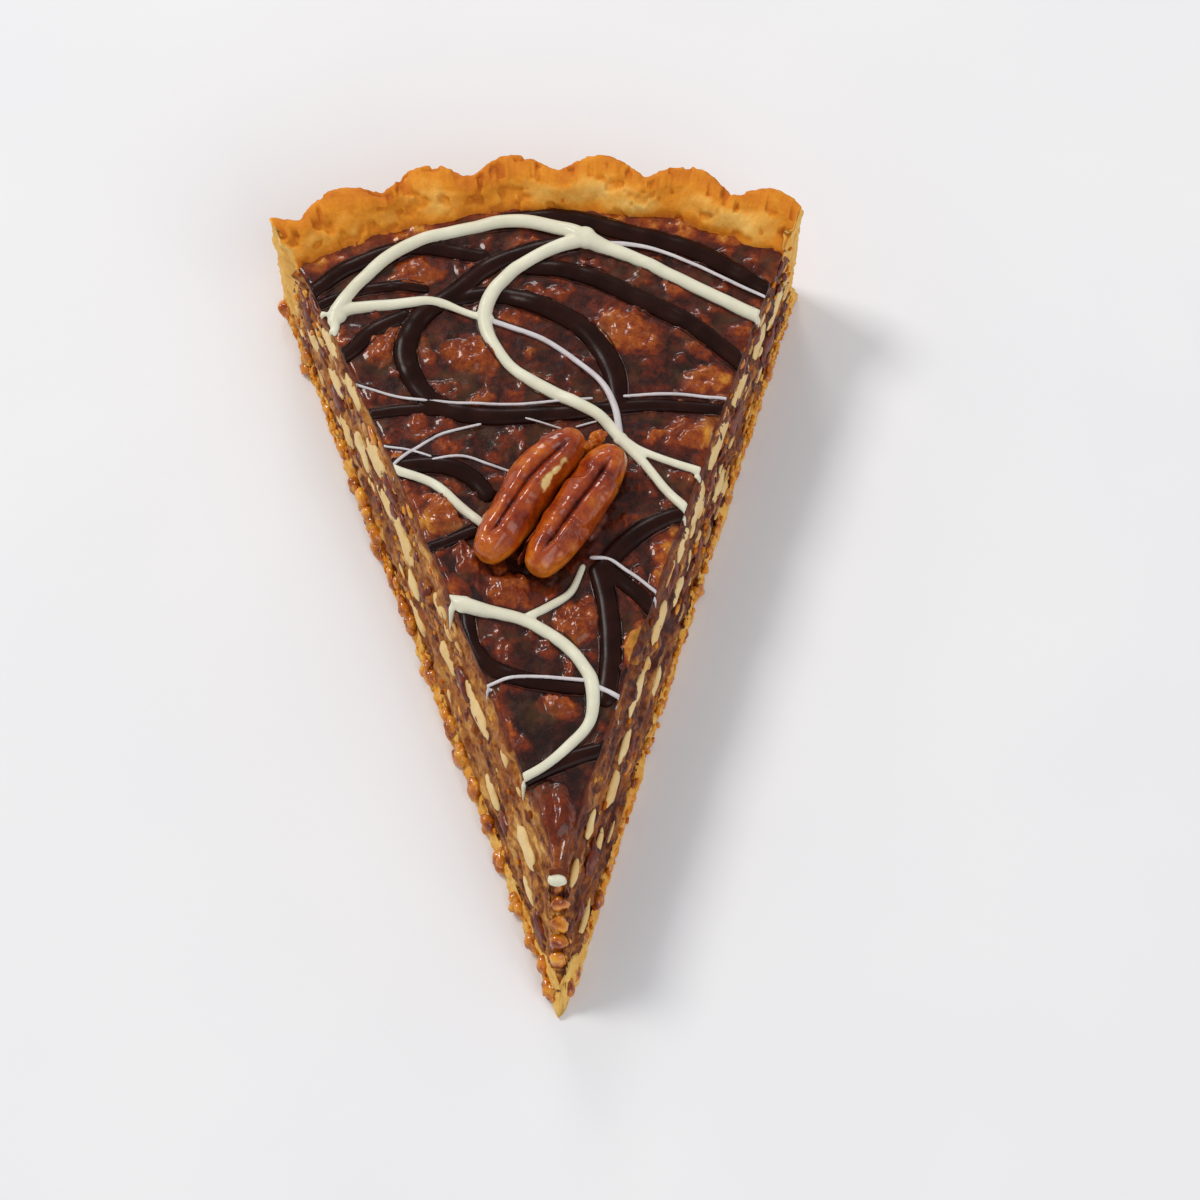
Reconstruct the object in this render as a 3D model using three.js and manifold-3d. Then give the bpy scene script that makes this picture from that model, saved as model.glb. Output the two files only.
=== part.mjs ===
// A slice of a fluted pecan tart: a short-crust shell, a caramel and pecan filling, two pecan halves
// and strands of dark and white chocolate on top. Lengths are in millimetres.
// +Y runs from the slice's tip to its rim, +X is across it and +Z is up. While the solids are made,
// y is counted from the tip of the base. At the end they are centred over the origin.
import * as THREE from 'three';
import Module from 'manifold-3d';

// Driving dimensions of the slice
const LENGTH = 142;            // from the tip of the base to the rim's crests
const HEIGHT = 24.3;           // from the base to the top of the rim
const RIM_RADIUS = 100;        // of the circle through the rim's crests
const HALF_ANGLE = 26.3;       // degrees from the middle to a cut face, about the rim's centre
const TIP_HALF_WIDTH = 1.3;    // the knife leaves a blunt tip
const TIP_SHARPNESS = 0.3;     // the share of that width left at the base
const TIP_BLUNT_FROM = 8;      // the height where the tip has its full width
const TIP_LEAN = 15.4;         // how far the top of the tip stands back from the base's tip

// The fluted shell
const FLUTE_PITCH = 8.65;      // degrees
const FLUTE_PHASE = -2.25;     // degrees, the crest nearest the middle
const FLUTE_DEPTH = 3.6;
const WALL_FLARE = 3.3;        // how much further in the wall stands at its foot
const WALL_THICKNESS = 9.4;    // at the filling's surface, from the crest circle
const FLOOR = 2.8;             // thickness of the baked base
const FILLET = 3.6;            // between the base and the wall, inside
const SHELL_COLUMNS_PER_FLUTE = 8;
const FLOOR_SHARES = [0, 0.45, 0.8];    // rows of points on the flat base, as shares of its length

// The shell's profile outside, from the foot up over the rim and down to the filling: how far in from
// the crest circle, how high, and how strongly the flutes show.
const OUTER_PROFILE = [
  { inward: WALL_FLARE + 1.2, z: 0, flutes: 1 },
  { inward: WALL_FLARE * 0.94, z: 0.9, flutes: 1 },
  { inward: WALL_FLARE * 0.5, z: HEIGHT * 0.5, flutes: 1 },
  { inward: 0.2, z: HEIGHT - 1.6, flutes: 1 },
  { inward: 0.4, z: HEIGHT - 0.6, flutes: 1 },
  { inward: 1.4, z: HEIGHT, flutes: 0.95 },
  { inward: 4.9, z: HEIGHT - 0.2, flutes: 0.55 },
  { inward: 6.2, z: HEIGHT - 1, flutes: 0.3 },
  { inward: 8, z: HEIGHT - 2.2, flutes: 0.1 },
  { inward: WALL_THICKNESS - 0.3, z: HEIGHT - 3.2 },
];

// The filling
const GAP = 0.3;               // between any two solids
const FILL_AT_RIM = 20.7;      // its surface above the base, at the rim
const FILL_AT_TIP = 21.6;
const HALF_FILL = 13;          // a row of points about half way up the cut faces
const BUMP = 0.35;             // how far the nuts lift its surface
const BOW_LEFT = 3.2;          // how far each cut's upper edge bows in, at most
const BOW_RIGHT = 1.85;
const BOW_END = 0.95;          // the bow ends here, at the wall, as a share of the way to the rim
const TIP_NUT = { x: -1, y: 24.5, radius: 6, height: 1.5 };
const FILL_COLUMNS = 18;
const FILL_ROWS = 26;

// The pecan's two halves: foot and head of each half's axis
const PECAN_HALVES = {
  left: { foot: [-10, 66.5], head: [3.8, 89.4] },
  right: { foot: [-2.2, 64], head: [11.3, 85.5] },
};
const PECAN_WIDTH = 7.9;
const PECAN_HEIGHT = 9.6;
const PECAN_SINK = 1;          // how deep it sits in the glaze
const PECAN_BLUNTNESS = 0.03;  // the share of half a turn cut off each rounded end
const PECAN_FULLNESS = 0.75;   // lower is fuller towards the ends
const GROOVE_DEPTH = 1.5;
const GROOVE_WIDTH = 0.3;      // as a share of the half's width
const PECAN_RINGS = 18;
const PECAN_SIDES = 20;

// The chocolate strands: half width and height of the section, then the routes
const DARK = { halfWidth: 1.25, height: 1.2, step: 3 };
const WHITE = { halfWidth: 1.2, height: 1.3, step: 2.2 };
const STRAND_LIFT = 0.45;      // clear of the filling's facets
const STRAND_SIDES = 6;
const STRAND_END = 0.6;        // how much narrower a strand's ends are
const CROSSING_RAMP = 3;       // over what length a white strand climbs a dark one
const DARK_ROUTES = [
  [[-6, 131], [4, 131], [14, 127.5], [25, 124], [32, 119.5], [36, 115]],
  [[-35.5, 118], [-31, 122.5], [-21, 126], [-8, 124]],
  [[6, 127], [-6, 123], [-14, 117], [-20, 112], [-22, 105], [-18, 97], [-10, 94], [3, 94], [16, 95], [27.5, 94]],
  [[-18, 115], [-8, 116], [0, 113], [7, 109], [11, 102], [12, 95]],
  [[-3, 122], [7, 120], [16, 115], [24, 110], [30.5, 103]],
  [[-30.5, 107], [-27, 111], [-21, 114]],
  [[-23, 85], [-17, 85], [-12, 83], [-10, 80]],
  [[8, 66], [12, 70], [16, 73], [20, 74]],
  [[8, 66], [9, 60], [9, 51], [8, 44]],
  [[-12, 58], [-12, 53], [-8, 48], [8, 45]],
  [[-4.5, 31], [1, 33], [6, 34]],
];
const WHITE_ROUTES = [
  [[-33.5, 113.5], [-27, 122], [-13, 129], [-4, 130], [7, 126], [17, 122], [26, 116.5], [34, 111.5]],
  [[7, 126], [1, 124], [-8, 116], [-9, 109], [-2, 100], [9, 93], [12, 89], [16, 84], [21.5, 76]],
  [[-33.5, 113.5], [-23, 115], [-9, 112], [0, 108], [9, 100], [12, 89], [17, 86], [23, 83.5]],
  [[-22.5, 84], [-18, 82], [-14, 78], [-11, 75]],
  [[-13.5, 60], [-4, 57], [2, 53], [6, 46], [3, 36], [-4, 31]],
  [[5, 65], [2, 61], [-4, 57]],
];

const COLOURS = {
  crust: '#cf9650',
  filling: '#5c2c17',
  pecan: '#94401a',
  dark: '#33201d',
  white: '#e4e2cf',
};

const RIM_CENTRE_Y = LENGTH - RIM_RADIUS;
const rad = THREE.MathUtils.degToRad;
const { lerp, smoothstep } = THREE.MathUtils;

// How far the fluted wall stands in from the crest circle: round crests and narrower valleys.
function fluteDepth(degrees) {
  const wave = Math.abs(Math.cos(Math.PI * (degrees - FLUTE_PHASE) / FLUTE_PITCH));
  return FLUTE_DEPTH * (1 - Math.sqrt(wave * wave + 0.02) / Math.sqrt(1.02));
}

// The bow of the upper edges: full and nearly even over most of the cut and none at its two ends.
function bowShape(t) {
  return t > 0 && t < 1 ? t ** 0.35 * (1 - t) ** 0.3 / 0.64 : 0;
}

// A point of the slice. across runs from -1, the left cut, to 1, the right cut. inward is the
// distance back from the crest circle, or t the share of the way from the tip to that circle. The cut
// faces lean: the upper edges bow in.
function slicePoint(across, { inward = null, t = null, z, flutes = 0 }) {
  const degrees = across * HALF_ANGLE;
  const radius = RIM_RADIUS - flutes * fluteDepth(degrees);
  const endX = radius * Math.sin(rad(degrees));
  const endY = RIM_CENTRE_Y + radius * Math.cos(rad(degrees));
  const tipX = across * TIP_HALF_WIDTH * lerp(TIP_SHARPNESS, 1, smoothstep(z, 0, TIP_BLUNT_FROM));
  const tipY = TIP_LEAN * z / FILL_AT_TIP;
  const share = t ?? 1 - inward / Math.hypot(endX - tipX, endY - tipY);
  const bow = (across < 0 ? BOW_LEFT : BOW_RIGHT) * bowShape(share / BOW_END) * z / FILL_AT_RIM;
  return new THREE.Vector3(lerp(tipX, endX, share) - across * bow, lerp(tipY, endY, share), z);
}

// The filling's surface: a slight rise towards the tip, low waves where nuts lie and one round nut.
function fillTop(x, y) {
  const base = lerp(FILL_AT_TIP, FILL_AT_RIM, (y - TIP_LEAN) / (LENGTH - WALL_THICKNESS - TIP_LEAN));
  const waves = BUMP * Math.sin(x * 0.34 + 1) * Math.sin(y * 0.31) + BUMP * 0.4 * Math.sin(x * 0.2 - y * 0.37);
  const away = Math.hypot(x - TIP_NUT.x, y - TIP_NUT.y) / TIP_NUT.radius;
  return base + waves + TIP_NUT.height * Math.max(0, 1 - away * away);
}

// The shell's inner face: how far it stands in from the crest circle at a height.
function innerWall(z) {
  const belowFillet = Math.max(0, FLOOR + FILLET - z);
  return WALL_THICKNESS + 0.6 + FILLET - Math.sqrt(Math.max(0, FILLET ** 2 - belowFillet ** 2));
}

function onInnerWall(z) {
  return { inward: innerWall(z), z };
}

// A mesh from a list of closed rings of equal length: skin between rings, first and last ring capped
// by the same flat outline, given as 2D points.
function skin(rings, outline) {
  const count = rings[0].length;
  const faces = [];
  for (let r = 0; r + 1 < rings.length; r++) {
    for (let i = 0; i < count; i++) {
      const j = (i + 1) % count;
      const a = r * count + i;
      const b = r * count + j;
      faces.push(a, b, b + count, a, b + count, a + count);
    }
  }
  const last = (rings.length - 1) * count;
  for (const [a, b, c] of THREE.ShapeUtils.triangulateShape(outline, [])) {
    faces.push(a, c, b, last + a, last + b, last + c);
  }
  const geometry = new THREE.BufferGeometry().setFromPoints(rings.flat());
  geometry.setIndex(faces);
  return geometry;
}

// One closed profile, carried across the slice from the left cut to the right.
function carryAcross(profile, columns) {
  const rings = [];
  for (let c = 0; c <= columns; c++) {
    const across = -1 + 2 * c / columns;
    rings.push(profile.map((point) => slicePoint(across, point)));
  }
  const outline = rings[0].map((p) => new THREE.Vector2(Math.hypot(p.x, p.y), p.z));
  return skin(rings, outline);
}

// The baked shell: flat base, flared and fluted wall, browned top and the slope down to the filling.
function crustGeometry() {
  const profile = [
    ...FLOOR_SHARES.map((t) => ({ t, z: 0 })),
    ...OUTER_PROFILE,
    ...[FILL_AT_RIM - 1, HALF_FILL, FLOOR + FILLET, FLOOR + 0.45 * FILLET, FLOOR + 0.12 * FILLET].map(onInnerWall),
    { inward: innerWall(FLOOR) + 0.5, z: FLOOR },
    ...FLOOR_SHARES.toReversed().map((t) => ({ t, z: FLOOR })),
  ];
  const flutes = 2 * HALF_ANGLE / FLUTE_PITCH;
  return carryAcross(profile, Math.round(flutes * SHELL_COLUMNS_PER_FLUTE));
}

// The filling: it stands on the base, follows the wall's inner face and has a lumpy top.
function fillingGeometry() {
  const floor = FLOOR + GAP;
  const profile = [
    ...FLOOR_SHARES.map((t) => ({ t, z: floor })),
    { inward: innerWall(FLOOR) + 1, z: floor },
    ...[FLOOR + 0.3 * FILLET, FLOOR + 0.6 * FILLET, FLOOR + FILLET, HALF_FILL, FILL_AT_RIM - 1.2]
      .map((z) => ({ inward: innerWall(z) + 2 * GAP, z })),
  ];
  const firstTop = profile.length;
  const topEnd = 1 - (WALL_THICKNESS + 4 * GAP) / (LENGTH - TIP_LEAN);
  for (let row = 0; row <= FILL_ROWS; row++) {
    profile.push({ t: lerp(topEnd, 0, row / FILL_ROWS), z: FILL_AT_RIM });
  }
  profile.push({ t: 0, z: HALF_FILL });
  const geometry = carryAcross(profile, FILL_COLUMNS);
  const position = geometry.getAttribute('position');
  for (let i = 0; i < position.count; i++) {
    const row = i % profile.length;
    if (row >= firstTop && row <= firstTop + FILL_ROWS) {
      position.setZ(i, fillTop(position.getX(i), position.getY(i)));
    }
  }
  return geometry;
}

// One half of a pecan: a long round body, narrower to its ends, with a groove down its back, flat
// where it rests. extra makes it fatter all round.
function pecanGeometry({ foot, head }, extra = 0) {
  const start = new THREE.Vector2(...foot);
  const axis = new THREE.Vector2(...head).sub(start);
  const along = axis.clone().normalize();
  const side = new THREE.Vector2(-along.y, along.x);
  const half = axis.length() / 2 + extra;
  const middle = start.clone().add(axis.clone().multiplyScalar(0.5));
  const rings = [];
  for (let r = 0; r <= PECAN_RINGS; r++) {
    const turn = Math.PI * lerp(PECAN_BLUNTNESS, 1 - PECAN_BLUNTNESS, r / PECAN_RINGS);
    const fat = Math.pow(Math.sin(turn), PECAN_FULLNESS);
    const reach = -Math.cos(turn) * half;
    const ring = [];
    for (let k = 0; k < PECAN_SIDES; k++) {
      const angle = 2 * Math.PI * k / PECAN_SIDES;
      const up = Math.sin(angle);
      const groove = GROOVE_DEPTH * fat * Math.exp(-((Math.cos(angle) / GROOVE_WIDTH) ** 2)) * Math.max(0, up);
      const wide = (PECAN_WIDTH / 2 * fat + extra) * Math.cos(angle);
      const x = middle.x + along.x * reach + side.x * wide;
      const y = middle.y + along.y * reach + side.y * wide;
      const centreZ = FILL_AT_RIM + PECAN_HEIGHT / 2 - PECAN_SINK;
      const z = centreZ + (PECAN_HEIGHT / 2 * fat + extra) * up - groove;
      ring.push(new THREE.Vector3(x, y, Math.max(z, fillTop(x, y) + STRAND_LIFT - extra)));
    }
    rings.push(ring);
  }
  const outline = rings[0].map((p, k) => {
    const angle = 2 * Math.PI * k / PECAN_SIDES;
    return new THREE.Vector2(Math.cos(angle), Math.sin(angle));
  });
  return skin(rings, outline);
}

// The route of a strand as points on a smooth curve, one for each step of its length.
function routePoints(route, step) {
  const curve = new THREE.CatmullRomCurve3(route.map(([x, y]) => new THREE.Vector3(x, y, 0)), false, 'centripetal');
  return curve.getSpacedPoints(Math.max(3, Math.round(curve.getLength() / step)));
}

const darkPoints = DARK_ROUTES.flatMap((route) => routePoints(route, 1));

// How far a white strand is lifted where it crosses a dark one.
function liftOverDark(x, y) {
  const distance = Math.min(...darkPoints.map((p) => Math.hypot(p.x - x, p.y - y)));
  const clear = DARK.halfWidth + WHITE.halfWidth;
  return (DARK.height + 2 * GAP) * (1 - smoothstep(distance, clear, clear + CROSSING_RAMP));
}

// A strand: a low oval section carried along its route over the filling, with narrower ends.
function strandGeometry(route, { halfWidth, height, step }, lift) {
  const points = routePoints(route, step);
  const rings = points.map((p, i) => {
    const before = points[Math.max(0, i - 1)];
    const after = points[Math.min(points.length - 1, i + 1)];
    const ahead = after.clone().sub(before).normalize();
    const size = i === 0 || i === points.length - 1 ? STRAND_END : 1;
    const ring = [];
    for (let k = 0; k < STRAND_SIDES; k++) {
      const angle = 2 * Math.PI * k / STRAND_SIDES;
      const x = p.x - ahead.y * halfWidth * size * Math.cos(angle);
      const y = p.y + ahead.x * halfWidth * size * Math.cos(angle);
      const rise = height / 2 * (1 + size * Math.sin(angle));
      ring.push(new THREE.Vector3(x, y, fillTop(x, y) + STRAND_LIFT + lift(x, y) + rise));
    }
    return ring;
  });
  const outline = Array.from({ length: STRAND_SIDES }, (_, k) => {
    const angle = 2 * Math.PI * k / STRAND_SIDES;
    return new THREE.Vector2(Math.cos(angle), Math.sin(angle));
  });
  return skin(rings, outline);
}

const wasm = await Module();
wasm.setup();

function toSolid(geometry) {
  const vertProperties = new Float32Array(geometry.getAttribute('position').array);
  const triVerts = new Uint32Array(geometry.getIndex().array);
  return new wasm.Manifold(new wasm.Mesh({ numProp: 3, vertProperties, triVerts }));
}

function toGeometry(solid) {
  const { vertProperties, triVerts } = solid.getMesh();
  const geometry = new THREE.BufferGeometry();
  geometry.setAttribute('position', new THREE.BufferAttribute(vertProperties, 3));
  geometry.setIndex(new THREE.BufferAttribute(triVerts, 1));
  return geometry;
}

// Strands of one colour run together where they cross. What touches becomes one piece.
function drizzlePieces(routes, section, lift) {
  let joined = toSolid(strandGeometry(routes[0], section, lift));
  for (const route of routes.slice(1)) {
    joined = joined.add(toSolid(strandGeometry(route, section, lift)));
  }
  for (const half of Object.values(PECAN_HALVES)) {
    joined = joined.subtract(toSolid(pecanGeometry(half, 2 * GAP)));
  }
  return joined.decompose().map(toGeometry);
}

const slice = new THREE.Group();

function addPiece(name, geometry, colour, roughness) {
  const mesh = new THREE.Mesh(geometry, new THREE.MeshStandardMaterial({ color: colour, roughness, metalness: 0 }));
  geometry.computeVertexNormals();
  mesh.name = name;
  slice.add(mesh);
}

addPiece('crust', crustGeometry(), COLOURS.crust, 0.8);
addPiece('filling', fillingGeometry(), COLOURS.filling, 0.3);
for (const [name, half] of Object.entries(PECAN_HALVES)) {
  addPiece(`pecan_half_${name}`, pecanGeometry(half), COLOURS.pecan, 0.35);
}
drizzlePieces(DARK_ROUTES, DARK, () => 0).forEach((piece, i) => {
  addPiece(`dark_drizzle_${i + 1}`, piece, COLOURS.dark, 0.3);
});
drizzlePieces(WHITE_ROUTES, WHITE, liftOverDark).forEach((piece, i) => {
  addPiece(`white_drizzle_${i + 1}`, piece, COLOURS.white, 0.35);
});

// The origin is on the surface that the slice stands on, below the middle of its box.
const box = new THREE.Box3().setFromObject(slice);
const centre = box.getCenter(new THREE.Vector3());
slice.position.set(-centre.x, -centre.y, -box.min.z);

export default slice;
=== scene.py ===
# %% [markdown]
# # A slice of pecan pie, piece by piece
#
# This lesson builds the looks of one slice of a fluted pecan tart around a fixed CAD frame: a baked
# short-crust shell, a caramel filling full of chopped nuts, chocolate drizzle and a pecan on top. The
# frame says where everything is and how big it is. Each piece here is a surface worked out with numpy
# and takes the place of its plain CAD solid.

import math

import bpy
import numpy as np
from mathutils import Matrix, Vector


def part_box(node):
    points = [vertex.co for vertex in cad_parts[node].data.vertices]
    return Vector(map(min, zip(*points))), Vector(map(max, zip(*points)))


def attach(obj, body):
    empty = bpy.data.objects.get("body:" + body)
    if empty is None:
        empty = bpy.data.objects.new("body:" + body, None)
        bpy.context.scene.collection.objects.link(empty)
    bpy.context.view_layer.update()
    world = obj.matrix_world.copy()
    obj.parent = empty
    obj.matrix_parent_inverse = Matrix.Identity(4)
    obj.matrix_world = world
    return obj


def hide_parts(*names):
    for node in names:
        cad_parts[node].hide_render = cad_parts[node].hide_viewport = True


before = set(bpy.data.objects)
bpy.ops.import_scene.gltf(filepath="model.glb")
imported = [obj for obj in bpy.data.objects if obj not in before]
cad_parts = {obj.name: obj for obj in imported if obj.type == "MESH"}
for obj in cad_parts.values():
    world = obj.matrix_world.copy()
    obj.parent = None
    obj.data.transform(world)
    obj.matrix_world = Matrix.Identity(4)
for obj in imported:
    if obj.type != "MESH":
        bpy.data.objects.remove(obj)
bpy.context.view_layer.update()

# %% [markdown]
# ## One frame, in millimetres
#
# Blender works in metres, but a baker thinks in millimetres, so every shape below is worked out in
# millimetres and turned to metres when its mesh is made. As in a recipe card, y is counted from the
# tip of the slice's base towards its rim, x from the middle line, and z up from the table.

# %% The slice's driving sizes
MM = 0.001
crust_low, crust_high = (np.array(corner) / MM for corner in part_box("crust"))
crust_points = np.array([vertex.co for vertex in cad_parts["crust"].data.vertices]) / MM
base_tip = crust_points[crust_points[:, 1] < crust_low[1] + 0.01]
ORIGIN = np.array([base_tip[:, 0].mean(), crust_low[1], 0.0])

HEIGHT = crust_high[2]
LENGTH = crust_high[1] - crust_low[1] + 0.3    # the crests' rounded edge stands 0.3 mm back
RIM_RADIUS = 100.0
RIM_CENTRE = LENGTH - RIM_RADIUS
HALF_ANGLE = math.radians(26.3)
TIP_HALF_WIDTH = 1.3
TIP_LEAN = 15.4
FILL_AT_RIM = 20.7
FILL_AT_TIP = 21.6
WALL_THICKNESS = 9.4
FLOOR = 2.8
print("the slice is", round(LENGTH, 1), "mm long and", round(HEIGHT, 1), "mm high")

# %% [markdown]
# ## The camera, the table and the light
#
# The slice is seen from well above its tip, through a long lens that keeps its edges straight. The
# camera stands on the line through its aim point; turning the camera a little round the slice, and
# not the slice itself, keeps the model square to its frame.

# %% Camera
CAMERA_ELEVATION = math.radians(64)
CAMERA_TURN = math.radians(-1.91)
CAMERA_DISTANCE = 0.5857
AIM = Vector((0.0084, 0.0, 0.0))

camera_data = bpy.data.cameras.new("long_lens")
camera_data.lens = 108
camera_data.sensor_width = 36
camera = bpy.data.objects.new("camera", camera_data)
bpy.context.scene.collection.objects.link(camera)
backwards = Vector((math.sin(CAMERA_TURN) * math.cos(CAMERA_ELEVATION),
                    -math.cos(CAMERA_TURN) * math.cos(CAMERA_ELEVATION),
                    math.sin(CAMERA_ELEVATION)))
camera.location = AIM + backwards * CAMERA_DISTANCE
camera.rotation_euler = backwards.to_track_quat("Z", "Y").to_euler()
bpy.context.scene.camera = camera
bpy.context.scene.view_settings.view_transform = "Standard"
print("the camera stands", round(camera.location.z, 3), "m above the table")

# %% [markdown]
# ## Colours and nodes
#
# Food colours are given as sRGB hex values, while Blender's shaders work with linear light.
# One function turns one into the other. A second adds a node, sets it up and wires it, so that each
# material below reads as a short list.

# %% Helpers for materials
def linear(hex_colour):
    """sRGB hex to linear RGBA: each channel is scaled to 0..1 and the sRGB curve is undone."""
    channels = np.array([int(hex_colour[i:i + 2], 16) for i in (1, 3, 5)]) / 255
    straight = channels / 12.92
    curved = ((channels + 0.055) / 1.055) ** 2.4
    return (*np.where(channels <= 0.04045, straight, curved).tolist(), 1.0)


def add_node(material, kind, feeds=None, stops=None, **choices):
    """Adds one shader node. choices are its own properties, feeds maps an input to a value or to the
    output that is linked to it, and stops are a colour ramp's places and hex colours."""
    tree = material.node_tree
    node = tree.nodes.new("ShaderNode" + kind)
    for name, value in choices.items():
        setattr(node, name, value)
    for key, value in (feeds or {}).items():
        if isinstance(value, bpy.types.NodeSocket):
            tree.links.new(value, node.inputs[key])
        else:
            node.inputs[key].default_value = value
    for number, (place, colour) in enumerate(stops or ()):
        elements = node.color_ramp.elements
        stop = elements[number] if number < 2 else elements.new(place)
        stop.position = place
        stop.color = linear(colour)
    return node


def join(material, feeds, node):
    """Links each output in feeds to the node's input of that name."""
    for socket, output in feeds.items():
        material.node_tree.links.new(output, node.inputs[socket])


def new_finish(name, **constants):
    """A material with its nodes cleared, the place where patterns are read, in mm, and its shader.
    constants are the shader's own settings, with an underscore for each space in a socket's name."""
    material = bpy.data.materials.new(name)
    material.use_nodes = True
    material.node_tree.nodes.clear()
    feeds = {socket.replace("_", " "): value for socket, value in constants.items()}
    shader = add_node(material, "BsdfPrincipled", feeds)
    add_node(material, "OutputMaterial", {"Surface": shader.outputs["BSDF"]})
    place = add_node(material, "TexCoord").outputs["Object"]
    in_mm = add_node(material, "VectorMath", {0: place, "Scale": 1 / MM}, operation="SCALE")
    print("finish", name)
    return material, in_mm.outputs["Vector"], shader


# %% Table and light
def area_light(name, place, size, power, colour="#ffffff"):
    """A square soft light that looks at the slice."""
    data = bpy.data.lights.new(name, "AREA")
    data.size = size
    data.energy = power
    data.color = linear(colour)[:3]
    light = bpy.data.objects.new(name, data)
    light.location = place
    light.rotation_euler = Vector(place).to_track_quat("Z", "Y").to_euler()
    bpy.context.scene.collection.objects.link(light)
    print("light", name, "gives", power, "W")


area_light("window", (-1.25, 1.0, 1.7), 0.6, 25.0, "#fffcf8")
area_light("fill", (1.1, -1.5, 1.7), 1.8, 20.0, "#fafbff")
area_light("back_strip", (-0.2, 1.5, 0.9), 0.4, 5.0)
world = bpy.data.worlds.new("pale_room")
world.use_nodes = True
world.node_tree.nodes["Background"].inputs["Color"].default_value = linear("#f4f5f7")
world.node_tree.nodes["Background"].inputs["Strength"].default_value = 0.44
bpy.context.scene.world = world

paper, paper_mm, paper_shader = new_finish("matt_white_paper", Roughness=0.9, Specular_IOR_Level=0.2)
paper_grain = add_node(paper, "TexNoise", {"Vector": paper_mm, "Scale": 0.02, "Detail": 2.0})
paper_colour = add_node(paper, "ValToRGB", {"Fac": paper_grain.outputs["Fac"]},
                        stops=[(0.3, "#eeeef0"), (0.7, "#f1f1f2")])
join(paper, {"Base Color": paper_colour.outputs["Color"]}, paper_shader)
table_mesh = bpy.data.meshes.new("table")
table_mesh.from_pydata([(-3, -3, 0), (3, -3, 0), (3, 3, 0), (-3, 3, 0)], [], [(0, 1, 2, 3)])
table_mesh.materials.append(paper)
table = bpy.data.objects.new("table", table_mesh)
bpy.context.scene.collection.objects.link(table)

# %% [markdown]
# ## Random but repeatable: lattice noise
#
# Crumb, caramel and nut skin are never even. A lattice noise gives each corner of a grid of cubes a
# random number, worked out from the corner's own whole numbers, and blends smoothly between corners.
# It is the same on every run, and the size of the cubes is a real size in millimetres.

# %% Noise on whole arrays
def corner_value(corner, seed):
    """A number from -1 to 1 for each lattice corner: its whole numbers are multiplied by large odd
    numbers, mixed by shifts and cut to 32 bits."""
    mixed = corner[..., 0] * 374761393 + corner[..., 1] * 668265263 + corner[..., 2] * 1274126177
    mixed = (mixed + seed * 144665) & 0xFFFFFFFF
    mixed = ((mixed ^ (mixed >> 13)) * 1103515245) & 0xFFFFFFFF
    return ((mixed ^ (mixed >> 16)) & 0xFFFFFFFF) / 0x7FFFFFFF - 1


def noise(points, size, seed, octaves=1):
    """Smooth noise: the eight corners round each point, blended with 3t^2 - 2t^3 along each axis.
    Each further octave has half the size and half the height."""
    total = np.zeros(np.shape(points)[:-1])
    for octave in range(octaves):
        place = np.asarray(points, float) * 2 ** octave / size + 31.7 * (seed + octave)
        corner = np.floor(place).astype(np.int64)
        part = place - corner
        part = part * part * (3 - 2 * part)
        for number in range(8):
            step = np.array([number & 1, number >> 1 & 1, number >> 2 & 1])
            weight = np.prod(np.where(step, part, 1 - part), axis=-1)
            total += weight * corner_value(corner + step, seed + octave) / 2 ** octave
    return total


def smoothstep(value, low, high):
    """0 below low, 1 above high and 3t^2 - 2t^3 between them."""
    part = np.clip((value - low) / (high - low), 0, 1)
    return part * part * (3 - 2 * part)


def mix(a, b, share):
    """A straight blend from a to b."""
    return a + (b - a) * share


# %% [markdown]
# ## From numbers to a mesh
#
# Almost every piece here is a stack of closed rings: a section carried along a path. The rings are
# joined by quads, and each end is closed by a fan to one point or by one flat face. One function
# makes the faces and one makes the object.

# %% Helpers for meshes
def ring_faces(rings, around):
    """Quads between neighbouring rings of equal length, numbered ring by ring."""
    ring, side = np.meshgrid(np.arange(rings - 1), np.arange(around), indexing="ij")
    here = ring * around + side
    beside = ring * around + (side + 1) % around
    return np.stack([here, beside, beside + around, here + around], -1).reshape(-1, 4).tolist()


def closed_tube(rings):
    """Points and faces of a closed tube: the rings' quads, and one flat face over each end ring."""
    count, around = rings.shape[:2]
    faces = ring_faces(count, around)
    faces.append(list(range(around))[::-1])
    faces.append(list(range((count - 1) * around, count * around)))
    return rings.reshape(-1, 3), faces


def make_piece(name, points, faces, materials, replaces=(), marks=None, face_slots=None):
    """A Blender object from points in mm. marks are named numbers kept on each point for the material."""
    mesh = bpy.data.meshes.new(name)
    mesh.from_pydata(((points + ORIGIN) * MM).tolist(), [], faces)
    for mark, values in (marks or {}).items():
        attribute = mesh.attributes.new(mark, "FLOAT", "POINT")
        attribute.data.foreach_set("value", np.asarray(values, np.float32).ravel())
    for material in materials:
        mesh.materials.append(material)
    if face_slots is not None:
        mesh.polygons.foreach_set("material_index", np.asarray(face_slots, np.int32))
    mesh.shade_smooth()
    piece = bpy.data.objects.new(name, mesh)
    bpy.context.scene.collection.objects.link(piece)
    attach(piece, "root")
    if replaces:
        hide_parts(*replaces)
    triangles = sum(len(face) - 2 for face in faces)
    print(name, "has", triangles, "triangles")
    return piece


def join_parts(parts):
    """Joins several (points, faces, marks) into one, renumbering the faces."""
    points, faces, marks, start = [], [], {}, 0
    for part_points, part_faces, part_marks in parts:
        points.append(part_points)
        faces.extend([[index + start for index in face] for face in part_faces])
        for mark, value in part_marks.items():
            marks.setdefault(mark, []).append(np.broadcast_to(value, len(part_points)))
        start += len(part_points)
    return np.concatenate(points), faces, {mark: np.concatenate(values) for mark, values in marks.items()}


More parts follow.
